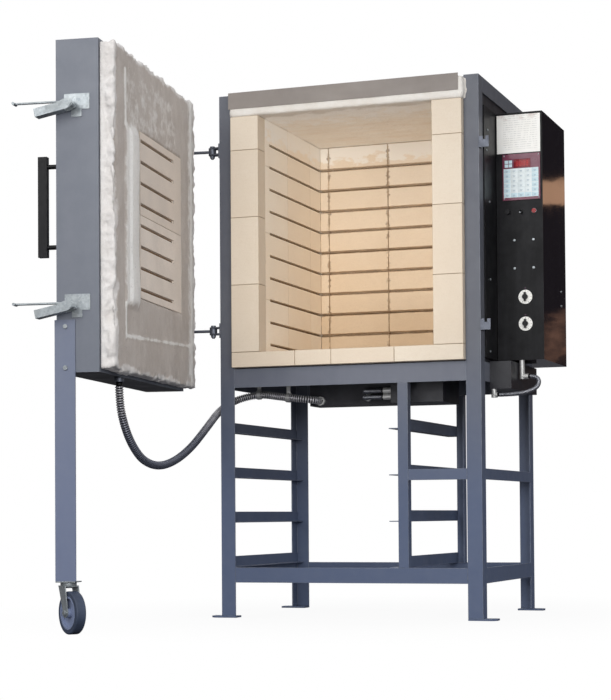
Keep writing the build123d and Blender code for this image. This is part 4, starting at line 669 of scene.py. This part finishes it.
def ribbedHose(look):
    path = hoseLine([cordAt(*point) for point in look["points"]], look["name"])
    marks = pathMarks(path)
    total, plain, root, height = marks[-1], look["plain"], look["root"], look["outer"] - look["root"]
    ribs = int((total - 2 * plain) / look["pitch"])
    step = (total - 2 * plain) / ribs
    rings = [(0.0, root), (plain * 0.5, root)]
    for rib in range(ribs):
        rings += [(plain + rib * step + share * step, root + height * size) for share, size in ribShape]
    rings.append((total, root))
    shape = bmesh.new()
    side = Vector((0.3, 0.5, 0.8))
    last, crests = None, []
    for (mark, radius), (index, spot) in zip(rings, pathSpots(path, marks, [mark for mark, radius in rings])):
        here = (path[index + 1] - path[index]).normalized()
        around = (path[min(index + 2, len(path) - 1)] - path[max(index - 1, 0)]).normalized()
        heading = here.lerp(around, 0.5).normalized()
        side = (side - heading * side.dot(heading)).normalized()
        last = addRing(shape, last, spot, side, heading.cross(side), radius, look["sides"])
        crests += [(radius - root) / height] * look["sides"]
    shape.faces.new(last)
    hose = tubeObject(look["name"], shape)
    hose.data.attributes.new("crest", "FLOAT", "POINT").data.foreach_set("value", crests)
    paint(hose, look["finish"])
    return hose, path, total


doorHoseSet = {
    "name": "doorHose", "outer": 0.0132, "root": 0.0102, "pitch": 0.0076, "plain": 0.012, "sides": 20,
    "finish": darkHose, "slot": "black_hose",
    "points": [
        (-501.5, -690.5, 756.5), (-501.5, -690.5, 690), (-500, -653, 614), (-498, -601, 559),
        (-495, -533, 518), (-491, -430, 503), (-487, -316, 523), (-484, -197, 568), (-483, -92, 625),
        (-482, 92, 732), (-380, 150, 768), (-283, 130, 752), (-165, 128, 739), (-165, 188, 739),
    ],
}
doorHose, doorPath, doorLength = ribbedHose(doorHoseSet)
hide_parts("door_conduit")
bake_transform(doorHose)

supplySet = {
    "name": "supplyHose", "outer": 0.0076, "root": 0.0062, "pitch": 0.0042, "plain": 0.006, "sides": 16,
    "finish": hoseMetal, "slot": "hose",
    "points": [
        (562, 218, 803), (596, 218, 803), (604, 192, 766), (570, 145, 743), (520, 124, 738), (480, 124, 738),
    ],
}
supplyHose, supplyPath, supplyLength = ribbedHose(supplySet)
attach(supplyHose, "kiln")
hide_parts("wiring_conduits")
for number, height in enumerate((764, 743)):
    linkPoints = [(x, y, height) for x, y in ((8, 188), (8, 145), (18, 135), (82, 135))]
    linkSet = dict(supplySet, name=f"linkHose{number + 1}", points=linkPoints)
    linkHose, linkPath, linkLength = ribbedHose(linkSet)
    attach(linkHose, "kiln")
    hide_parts("wiring_conduits")
print("hoses laid:", [round(length, 4) for length in (doorLength, supplyLength, linkLength)])


# Copy of a node's mesh, joined up, with its flat faces whole and its edges softened. Angles are in degrees
softenSet = {"merge": 0.00002, "flatAngle": 0.6, "edgeAngle": 32, "edgeSteps": 2, "smoothAngle": 34}


def softened(node, edge=0.0, rimmed=False, name=None):
    source = nodes[node].data.copy()
    piece = inScene(name or node + "_finished", source)
    selectOnly(piece)
    if source.has_custom_normals:
        bpy.ops.mesh.customdata_custom_splitnormals_clear()
    bpy.ops.object.mode_set(mode="EDIT")
    bpy.ops.mesh.select_all(action="SELECT")
    bpy.ops.mesh.remove_doubles(threshold=softenSet["merge"])
    bpy.ops.mesh.dissolve_limited(angle_limit=math.radians(softenSet["flatAngle"]))
    bpy.ops.object.mode_set(mode="OBJECT")
    if edge:
        bevel = piece.modifiers.new("edge", "BEVEL")
        bevel.width = edge
        bevel.segments = softenSet["edgeSteps"]
        bevel.limit_method = "ANGLE"
        bevel.angle_limit = math.radians(softenSet["edgeAngle"])
        bevel.use_clamp_overlap = True
        if rimmed:  # the new edge faces take a finish of their own
            piece.data.polygons.foreach_set("material_index", [0] * len(piece.data.polygons))
            paint(piece, framePaint, framePaint)
            bevel.material = 1
        applyModifiers(piece)
    smoothed(piece, softenSet["smoothAngle"])
    flat = piece.modifiers.new("flat", "WEIGHTED_NORMAL")
    flat.keep_sharp = True
    flat.weight = 100
    applyModifiers(piece)
    return piece


# A random tone for each loose part of a mesh, so that each brick has its own colour
def toneParts(piece, seed):
    rng = random.Random(seed)
    shape = bmesh.new()
    shape.from_mesh(piece.data)
    layer = shape.verts.layers.float.new("tone")
    seen = set()
    for start in shape.verts:
        if start in seen:
            continue
        tone = rng.uniform(0, 1)
        stack = [start]
        seen.add(start)
        while stack:
            vertex = stack.pop()
            vertex[layer] = tone
            for edge in vertex.link_edges:
                other = edge.other_vert(vertex)
                if other not in seen:
                    seen.add(other)
                    stack.append(other)
    shape.to_mesh(piece.data)
    shape.free()


# The finish and the width of the softened edges of each steel, zinc and plastic node
steelParts = {
    "corner_posts": (framePaint, 0.0012), "foot_lugs": (framePaint, 0.0009),
    "floor_beams": (beamPaint, 0.001), "stand_rails": (framePaint, 0.001), "top_rails": (framePaint, 0.001),
    "inner_uprights": (framePaint, 0.001), "shelf_ledges": (framePaint, 0.0007),
    "case_panels": (darkPaint, 0.0003), "lintel_strip": (lintelPaint, 0.0005),
    "control_box": (glossBlack, 0.0005), "control_panel": (satinBlack, 0.0003),
    "terminal_cover": (satinBlack, 0.0004), "junction_boxes": (darkPaint, 0.0004),
    "conduit_fittings": (castFitting, 0.0008), "door_gland": (darkSteel, 0.0012),
    "door_case": (doorPaint, 0.0006), "hinge_lugs": (framePaint, 0.0009),
    "hinge_eye_bolts": (darkSteel, 0.0006), "hinge_clevises": (darkSteel, 0.0007),
    "hinge_pins": (darkSteel, 0.0006), "door_fasteners": (zincPlate, 0.0008),
    "latch_plates": (zincPlate, 0.0006), "upper_latch_handle": (zincPlate, 0.0006),
    "lower_latch_handle": (zincPlate, 0.0006), "upper_latch_rod": (zincPlate, 0.0005),
    "lower_latch_rod": (zincPlate, 0.0005), "latch_keepers": (darkSteel, 0.0006),
    "door_handle": (blackPlastic, 0.003), "door_leg": (legPaint, 0.0012),
    "caster_plate": (zincPlate, 0.0006), "caster_fork": (zincPlate, 0.0007),
    "caster_axle": (zincPlate, 0.0008), "caster_wheel": (wheelCore, 0.0012),
    "caster_tyre": (tyreRubber, 0.0005), "toggle_lever": (plainSteel, 0.0004),
    "switch_bodies": (blackPlastic, 0.0006), "element_terminals": (glazedClay, 0.0006),
    "thermocouple": (glazedClay, 0.0008), "contactors": (blackPlastic, 0.0015),
    "controller": (maroonFace, 0.0008), "controller_display": (displayGlass, 0.0002),
    "backup_boards": (boardMat, 0.0008), "door_insulation": (boardMat, 0.001),
}
# Painted and black parts take the lighter edge finish on their softened edges: painted highlight along the
# edges, partly wear
edgeWearAndHighlight = {framePaint: edgeWearAndHighlightFrame, beamPaint: edgeWearAndHighlightFrame, legPaint: edgeWearAndHighlightDoor, doorPaint: edgeWearAndHighlightDoor,
            glossBlack: edgeWearAndHighlightBlack, satinBlack: edgeWearAndHighlightBlack}
for node, (material, width) in steelParts.items():
    worn = edgeWearAndHighlight.get(material)
    settle(softened(node, width, rimmed=worn is not None), node, material, edges=worn)
print("steel parts finished:", len(steelParts))

# The finish, the finish of its joints, the width of its edges and the seed of its tones
brickParts = {
    "side_wall_bricks": (sideBrickPaintedLight, chamberJoint, 0.0013, 11),
    "back_wall_bricks": (chamberBrick, chamberJoint, 0.0018, 12),
    "floor_bricks": (chamberBrick, chamberJoint, 0.0013, 13),
    "face_bricks": (faceBrick, faceJoint, 0.0011, 14),
    "door_brick_panel": (doorBrick, doorJoint, 0.0011, 15),
}
for node, (material, jointMaterial, width, seed) in brickParts.items():
    piece = softened(node, width, rimmed=True)
    toneParts(piece, seed)
    settle(piece, node, material, edges=jointMaterial)
print("bricks finished")


# Soft fibre slabs: the node's shape made of small faces, lumpy, and torn along its outer edges
def fibreSlab(node, look):
    piece = softened(node, name=look["name"])
    remesh = piece.modifiers.new("grid", "REMESH")
    remesh.mode = "VOXEL"
    remesh.voxel_size = look["voxel"]
    soften = piece.modifiers.new("soften", "SMOOTH")
    soften.factor = 0.5
    soften.iterations = 2
    applyModifiers(piece)
    shares = [look["shares"](vertex.co) for vertex in piece.data.vertices]
    for group, scale, strength, depth in look["layers"]:
        weights = piece.vertex_groups.new(name=group)
        for index, share in enumerate(shares):
            weights.add([index], max(0.0, min(1.0, share[group])), "REPLACE")
        lumps = piece.modifiers.new(group, "DISPLACE")
        if scale:
            texture = bpy.data.textures.new(look["name"] + group, "CLOUDS")
            texture.noise_scale = scale
            texture.noise_depth = depth
            lumps.texture = texture
            lumps.texture_coords = "LOCAL"
        lumps.strength = strength
        lumps.mid_level = 0.52 if scale else 0.0
        lumps.vertex_group = group
    applyModifiers(piece)
    if "held" in look:
        for vertex in piece.data.vertices:
            vertex.co = look["held"](vertex.co)
    for mark in ("scorch", "pale"):
        values = piece.data.attributes.new(mark, "FLOAT", "POINT")
        values.data.foreach_set("value", [share[mark] for share in shares])
    selectOnly(piece)
    bpy.ops.object.shade_smooth()
    return piece


def between(value, low, high):
    return max(0.0, min(1.0, (value - low) / (high - low)))


def hump(value, low, high, soft):  # 1 between low and high, falling to 0 over soft on both sides
    return between(value, low - soft, low) * (1 - between(value, high, high + soft))


doorLining = {"start": 0.052, "end": 0.925, "low": 0.7785, "high": 1.7505, "base": -0.095, "face": -0.0495,
              "roll": (0.7, 0.803), "rollMiddle": 0.75, "rollHalf": 0.066, "bricks": (1.0, 1.505)}


def doorShares(spot):
    local = spot - hingeSpot
    a, b, z = local.dot(doorAlong), local.dot(doorInward), spot.z
    base, face, toEnd = doorLining["base"], doorLining["face"], doorLining["end"] - a
    out = between(b, base + 0.004, base + 0.02)
    edge = min(a - doorLining["start"], toEnd, z - doorLining["low"], doorLining["high"] - z)
    onFace = between(b, face - 0.016, face - 0.006)
    slant = 0.914 - 0.032 * between(a, 0.1, 0.85)
    tall = hump(z, *doorLining["bricks"], 0.03)
    strip = hump(a, *doorLining["roll"], 0.014) * tall
    pillow = math.sqrt(max(0.0, 1 - ((a - doorLining["rollMiddle"]) / doorLining["rollHalf"]) ** 2)) * tall
    pillow *= 0.85 + 0.15 * math.sin(z * 23) * math.sin(z * 9 + 1)
    stains = hump(a, 0.818, 0.826, 0.005) * max(hump(z, 1.49, 1.515, 0.01), hump(z, 1.0, 1.03, 0.01))
    seams = max(hump(a, 0.812, 0.822, 0.006) * hump(z, slant, 1.69, 0.01) * (1 - 0.8 * tall),
                0.8 * hump(a, 0.092, 0.106, 0.007),
                0.7 * hump(z, slant, slant + 0.006, 0.006) * hump(a, 0.1, 0.82, 0.01),
                0.35 * hump(a, 0.225, 0.262, 0.01) * hump(z, 1.0, 1.5, 0.03))
    upper = 0.35 * hump(a, 0.3, 0.8, 0.06) * hump(z, 1.53, 1.68, 0.05)
    rim = 0.5 * hump(a, 0.05, 0.13, 0.02)
    return {
        "body": out * 0.8, "puff": onFace * pillow, "seam": onFace * seams,
        "crease": onFace * hump(a, 0.821, 0.826, 0.006) * tall,
        "roll": out * (1 - between(toEnd, 0.0, 0.05)),
        "rip": out * (1 - between(edge, 0.0, 0.03)), "tear": out * (1 - between(edge, 0.0, 0.024)),
        "scorch": onFace * min(between(edge, -0.004, 0.035), between(toEnd, -0.01, 0.06)),
        "pale": min(1, 0.9 * strip + seams + upper + rim) - 0.7 * stains,
    }


def heldDoor(spot):  # outside the opening the lining stays clear of the brick face it closes on
    local = spot - hingeSpot
    a, b = local.dot(doorAlong), local.dot(doorInward)
    inside = 0.2 < a < 0.78 and 0.93 < spot.z < 1.67
    over = 0.0 if inside else max(0.0, b - doorLining["face"] - 0.003)
    return spot - doorInward * over * 0.9


# Each layer moves its share of the surface: its scale of lumps, strength and depth of detail
doorFibreSet = {"name": "doorLining", "voxel": 0.0058, "shares": doorShares, "held": heldDoor, "layers": (
    ("body", 0.09, 0.005, 2), ("puff", 0, 0.013, 0), ("seam", 0, 0.002, 0), ("crease", 0, -0.004, 0),
    ("roll", 0.075, 0.036, 1), ("rip", 0.06, 0.02, 2), ("tear", 0.018, 0.02, 3))}
settle(fibreSlab("door_fibre", doorFibreSet), "door_fibre", doorFibreMat)


def roofShares(spot):
    forward = 1 - between(spot.y, front + 0.01, front + 0.03)
    low = 1 - between(spot.z, 1.70, 1.706)
    ends = between(abs(spot.x), 0.385, 0.405)
    return {
        "body": min(1, forward * 0.9 + low * 0.9 * (1 - forward)),
        "rip": low * between(spot.y, front + 0.02, front + 0.06),
        "tear": forward * (0.3 + 0.7 * ends) * (1 - between(spot.z, 1.735, 1.75)),
        "scorch": between(spot.y, front - 0.016, front + 0.07),
        "pale": 0.75 * (1 - between(spot.y, front + 0.06, front + 0.3)),
    }


roofFibreSet = {"name": "roofLining", "voxel": 0.0075, "shares": roofShares,
                "layers": (("body", 0.12, 0.005, 2), ("rip", 0.05, 0.005, 3), ("tear", 0.02, 0.012, 3))}
settle(fibreSlab("roof_fibre", roofFibreSet), "roof_fibre", roofFibreMat)
print("fibre linings made")


# Coiled heating wires lying in the grooves
def coil(shape, line, look):
    marks = pathMarks(line)
    total = marks[-1]
    count = int(total / look["pitch"] * look["perTurn"])
    rise = look["pitch"] / (2 * math.pi * look["radius"])
    wanted = [total * number / count for number in range(count + 1)]
    last, side = None, Vector((0, 0, 1))
    for number, (index, spot) in enumerate(pathSpots(line, marks, wanted)):
        heading = (line[index + 1] - line[index]).normalized()
        side = (side - heading * side.dot(heading)).normalized()
        up = heading.cross(side)
        angle = 2 * math.pi * number / look["perTurn"]
        outward = side * math.cos(angle) + up * math.sin(angle)
        along = (up * math.cos(angle) - side * math.sin(angle) + heading * rise).normalized()
        centre = spot + outward * look["radius"]
        last = addRing(shape, last, centre, outward, outward.cross(along), look["wire"], look["sides"])
    shape.faces.new(last)


def coilPiece(name, lines, look):
    shape = bmesh.new()
    for line in lines:
        coil(shape, line, look)
    return tubeObject(name, shape)


def roundedLine(corners, radius, steps=6):
    line = [corners[0]]
    for before, here, after in zip(corners[:-2], corners[1:-1], corners[2:]):
        into, out = (here - before).normalized(), (after - here).normalized()
        middle = here - into * radius + out * radius
        for count in range(steps + 1):
            angle = math.pi / 2 * count / steps
            line.append(middle - out * radius * math.cos(angle) + into * radius * math.sin(angle))
    line.append(corners[-1])
    return line


chamberCoils = {"radius": 0.0018, "wire": 0.00055, "pitch": 0.0034, "perTurn": 9, "sides": 4, "rows": 10,
                "step": 0.0762, "lift": 0.0041, "side": 0.3123, "frontGap": 0.002, "backGap": 0.00325,
                "corner": 0.012}
low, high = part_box("chamber_elements")
side, near, far = chamberCoils["side"], low.y + chamberCoils["frontGap"], high.y - chamberCoils["backGap"]
for row in range(chamberCoils["rows"]):
    height = low.z + chamberCoils["lift"] + row * chamberCoils["step"]
    corners = [Vector((x, y, height)) for x, y in ((-side, near), (-side, far), (side, far), (side, near))]
    piece = coilPiece(f"heatingCoil{row + 1}", [roundedLine(corners, chamberCoils["corner"])], chamberCoils)
    settle(piece, "chamber_elements", wireMetal)

doorCoils = {"radius": 0.0017, "wire": 0.0005, "pitch": 0.0032, "perTurn": 9, "sides": 4, "rows": 8,
             "step": 0.0656, "lift": 0.0037, "start": 0.311, "end": 0.663, "depth": -0.0555}
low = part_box("door_elements")[0]
doorLines = []
for row in range(doorCoils["rows"]):
    height = low.z + doorCoils["lift"] + row * doorCoils["step"]
    doorLines.append([doorPoint(doorCoils[end], doorCoils["depth"], height) for end in ("start", "end")])
settle(coilPiece("doorCoils", doorLines, doorCoils), "door_elements", wireMetal)
print("heating coils wound")


# Controls: ticks round the dials, keys, display digits, lamp bezel and screw heads
def started(name, maker, **settings):  # a mesh from an operator, with nothing else selected
    bpy.ops.object.select_all(action="DESELECT")
    maker(**settings)
    piece = bpy.context.active_object
    piece.name = name
    return piece


def shaped(scale, centre, turn=0.0):  # the active mesh: stretched, turned about X and moved
    bpy.ops.object.mode_set(mode="EDIT")
    bpy.ops.transform.resize(value=scale)
    if turn:
        bpy.ops.transform.rotate(value=turn, orient_axis="X", center_override=(0, 0, 0))
    bpy.ops.transform.translate(value=centre)
    bpy.ops.object.mode_set(mode="OBJECT")


def boxAt(name, centre, size, edge, tilt=0.0, tiltCentre=None):
    piece = started(name, bpy.ops.mesh.primitive_cube_add, size=1)
    shaped(size, centre)
    bpy.ops.object.mode_set(mode="EDIT")
    if tilt:
        bpy.ops.transform.rotate(value=tilt, orient_axis="Y", center_override=tiltCentre)
    bpy.ops.mesh.bevel(offset=edge, segments=2, affect="EDGES")
    bpy.ops.object.mode_set(mode="OBJECT")
    return piece


fineEdge, keyEdge = 0.0001, 0.0003  # bevels of printed marks and of keys


def fitted(name, parts, material):  # joined into one piece, on the kiln
    selectOnly(*parts)
    if len(parts) > 1:
        bpy.ops.object.join()
    piece = bpy.context.view_layer.objects.active
    piece.name = name
    paint(piece, material)
    smoothed(piece, 38)
    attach(piece, "kiln")


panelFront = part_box("panel_plates")[0].y
dialSet = {"x": 0.5572, "heights": (1.0670, 0.9776), "up": 0.0195, "tall": 0.0036, "thick": 0.0006,
           "wide": 0.0014, "narrow": 0.0009, "ticks": 11, "spread": 150}
ticks = []
for height in dialSet["heights"]:
    hub = (dialSet["x"], panelFront, height)
    for number in range(dialSet["ticks"]):
        angle = math.radians(-dialSet["spread"] + 2 * dialSet["spread"] * number / (dialSet["ticks"] - 1))
        size = (dialSet["narrow" if number % 5 else "wide"], dialSet["thick"], dialSet["tall"])
        centre = (dialSet["x"], panelFront, height + dialSet["up"])
        ticks.append(boxAt("tick", centre, size, fineEdge, angle, hub))
fitted("dialTicks", ticks, printInk)

keySet = {"columns": 5, "rows": 6, "gap": 0.0022, "thick": 0.0008, "out": 0.0001, "markOut": 0.0006,
          "upperMark": (0.009, 0.0003, 0.0012), "lowerMark": (0.006, 0.0003, 0.001), "markStep": 0.003}
low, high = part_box("controller_keypad")
width, tall = (high.x - low.x) / keySet["columns"], (high.z - low.z) / keySet["rows"]
blue, pale, marks = [], [], []
for row in range(keySet["rows"]):
    for column in range(keySet["columns"]):
        x, z = low.x + width * (column + 0.5), high.z - tall * (row + 0.5)
        size = (width - keySet["gap"], keySet["thick"], tall - keySet["gap"])
        key = boxAt("key", (x, low.y - keySet["out"], z), size, keyEdge)
        (blue if column in (0, 4) or row == 5 else pale).append(key)
        markY = low.y - keySet["markOut"]
        marks.append(boxAt("mark", (x, markY, z), keySet["upperMark"], fineEdge))
        marks.append(boxAt("mark", (x, markY, z - keySet["markStep"]), keySet["lowerMark"], fineEdge))
fitted("keysBlue", blue, keyFilm)
fitted("keysPale", pale, keyBase)
fitted("keyMarks", marks, keyInk)

padSet = {"left": 0.0255, "up": 0.0075, "step": (0.0135, 0.0125), "size": (0.0118, 0.0010, 0.0108)}
low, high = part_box("controller_display")
bezelLow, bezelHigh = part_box("controller")
pads = []
for row in range(2):
    for column in range(2):
        x = low.x - padSet["left"] + column * padSet["step"][0]
        z = low.z + padSet["up"] + row * padSet["step"][1]
        pads.append(boxAt("pad", (x, bezelLow.y, z), padSet["size"], keyEdge))
fitted("sideKeys", pads, keyFilm)

digitSet = {"count": 4, "share": 0.2, "bar": (0.0052, 0.0005, 0.0011), "post": (0.0011, 0.0005, 0.0056),
            "barStep": 0.0075, "postOut": 0.0032, "postUp": 0.0038}
bars = []
middle = (low.z + high.z) / 2
for number in range(digitSet["count"]):
    x = low.x + (high.x - low.x) * digitSet["share"] * (number + 1)
    for up in (-1, 0, 1):
        bars.append(boxAt("bar", (x, low.y, middle + up * digitSet["barStep"]), digitSet["bar"], fineEdge))
    for right in (-1, 1):
        for up in (-1, 1):
            spot = (x + right * digitSet["postOut"], low.y, middle + up * digitSet["postUp"])
            bars.append(boxAt("bar", spot, digitSet["post"], fineEdge))
fitted("displayDigits", bars, segmentGlow)

bezelScrewSet = {"radius": 0.0026, "inset": 0.0055, "flatness": 0.5}
inset = bezelScrewSet["inset"]
heads = []
for x in (bezelLow.x + inset, bezelHigh.x - inset):
    for z in (bezelLow.z + inset, bezelHigh.z - inset):
        maker = bpy.ops.mesh.primitive_uv_sphere_add
        heads.append(started("head", maker, radius=bezelScrewSet["radius"], segments=20, ring_count=10))
        shaped((1, bezelScrewSet["flatness"], 1), (x, bezelLow.y, z))
fitted("bezelScrews", heads, zincPlate)

pilotSet = {"major": 0.0072, "minor": 0.0015, "x": 0.5896, "z": 1.353}
ring = started("ring", bpy.ops.mesh.primitive_torus_add, major_radius=pilotSet["major"], major_segments=40,
               minor_radius=pilotSet["minor"], minor_segments=12, rotation=(math.pi / 2, 0, 0))
bpy.ops.object.transform_apply(location=False, rotation=True, scale=False)
shaped((1, 1, 1), (pilotSet["x"], panelFront, pilotSet["z"]))
fitted("pilotBezel", [ring], zincPlate)

controlParts = {
    "controller_keypad": (keyBase, 0.0003), "panel_plates": (noticeSheet, 0.0002),
    "pilot_lights": (lampRed, 0.0007), "control_screws": (zincPlate, 0.0004),
    "upper_dial_knob": (blackPlastic, 0.0009), "lower_dial_knob": (blackPlastic, 0.0009),
}
for node, (material, width) in controlParts.items():
    settle(softened(node, width), node, material)
print("controls finished")


# Studio: pale floor, white surroundings, soft lamps and a dark room for the gloss to mirror
def emptied(owner):
    owner.use_nodes = True
    owner.node_tree.nodes.clear()
    return owner.node_tree


def seenRays(near):  # 1 for rays from the camera itself or through glass
    rays = add(near, "ShaderNodeLightPath").outputs
    return maths("MAXIMUM", rays["Is Camera Ray"], rays["Is Transmission Ray"])


floorSet = {"size": 30, "near": 0.6, "far": 1.6, "white": 0.93, "seen": (0.8, 0.8, 0.8),
            "unseen": (0.1, 0.1, 0.11)}
floor = started("studioFloor", bpy.ops.mesh.primitive_plane_add, size=floorSet["size"], location=(0, 0, 0))
floorMat = bpy.data.materials.new("studioFloor")
tree = emptied(floorMat)
seen = seenRays(tree)
matte = give(add(tree, "ShaderNodeBsdfDiffuse"), {"Color": mixed(seen, floorSet["unseen"], floorSet["seen"])})
distance = give(add(tree, "ShaderNodeVectorMath", operation="LENGTH"), {0: place(tree)})
keep = ranged(distance.outputs["Value"], floorSet["near"], floorSet["far"], floorSet["white"], 1.0)
white = add(tree, "ShaderNodeEmission")
mix = add(tree, "ShaderNodeMixShader")
give(mix, {"Fac": times(keep, seen), 1: matte.outputs["BSDF"], 2: white.outputs["Emission"]})
give(add(tree, "ShaderNodeOutputMaterial"), {"Surface": mix.outputs["Shader"]})
paint(floor, floorMat)

worldSet = {"low": 0.12, "high": 0.6, "dark": 0.16, "matte": (0.62, 0.62, 0.64), "white": (1.0, 1.0, 1.0)}
world = bpy.data.worlds.new("studio")
bpy.context.scene.world = world
tree = emptied(world)
height = axes(add(tree, "ShaderNodeTexCoord").outputs["Generated"])["Z"]
mirrored = ranged(height, worldSet["low"], worldSet["high"], worldSet["dark"], 1.0, "SMOOTHSTEP")
glossy = mixed(add(tree, "ShaderNodeLightPath").outputs["Is Glossy Ray"], worldSet["matte"], mirrored)
sky = give(add(tree, "ShaderNodeBackground"), {"Color": mixed(seenRays(tree), glossy, worldSet["white"])})
give(add(tree, "ShaderNodeOutputWorld"), {"Surface": sky.outputs["Background"]})

cardSet = {"size": (2.2, 3.4, 1), "spot": (2.2, 3.5, 1.75), "dark": (0.02, 0.016, 0.02),
           "band": (0.8, 0.46, 0.29), "bandLow": 1.98, "bandHigh": 2.12,
           "patches": (0.36, 0.19, 0.13), "patchLow": 1.14, "patchHigh": 1.37}
roomCard = started("roomCard", bpy.ops.mesh.primitive_plane_add, size=1)
shaped(cardSet["size"], cardSet["spot"], math.pi / 2)
cardMat = bpy.data.materials.new("roomCard")
tree = emptied(cardMat)
spot = place(tree)
height = maths("ADD", axes(spot)["Z"], cloudy(spot, (8, 8, 0.68), 0.3, 0.7, -0.1, 0.1))
band = times(ranged(height, cardSet["bandLow"], cardSet["bandLow"] + 0.01),
             ranged(height, cardSet["bandHigh"], cardSet["bandHigh"] + 0.01, 1, 0))
patches = times(ranged(height, cardSet["patchLow"], cardSet["patchLow"] + 0.01),
                ranged(height, cardSet["patchHigh"], cardSet["patchHigh"] + 0.02, 1, 0),
                cloudy(spot, (14, 6, 0.65), 0.4, 0.6, 0.1, 0.75))
colour = mixed(patches, mixed(band, cardSet["dark"], cardSet["band"]), cardSet["patches"])
glow = give(add(tree, "ShaderNodeEmission"), {"Color": colour})
give(add(tree, "ShaderNodeOutputMaterial"), {"Surface": glow.outputs["Emission"]})
paint(roomCard, cardMat)
roomCard.visible_camera = False
roomCard.visible_shadow = False
roomCard.visible_diffuse = False

lamps = {
    "key": {"spot": (-1.2, -6.0, 3.2), "aim": (0, -0.2, 1.1), "size": 2.6, "power": 76},
    "fill": {"spot": (3.4, -4.8, 1.2), "aim": (0.0, 0.1, 1.4), "size": 1.6, "power": 60},
    "front": {"spot": (1.3, -6.0, 1.5), "aim": (0, 0.1, 1.3), "size": 1.4, "power": 74},
    "low": {"spot": (0.1, -1.9, 0.5), "aim": (-0.02, 0.1, 1.45), "size": 0.5, "power": 0.9, "spread": 46},
    "back": {"spot": (-1.5, 3.5, 3.0), "aim": (0, 0, 1.0), "size": 2.5, "power": 30},
}
for name, look in lamps.items():
    data = bpy.data.lights.new(name, "AREA")
    data.size = look["size"]
    data.energy = look["power"]
    data.spread = math.radians(look.get("spread", 180))
    lamp = inScene(name, data)
    lamp.location = look["spot"]
    lamp.rotation_euler = (Vector(look["aim"]) - Vector(look["spot"])).to_track_quat("-Z", "Y").to_euler()
print("studio lit")
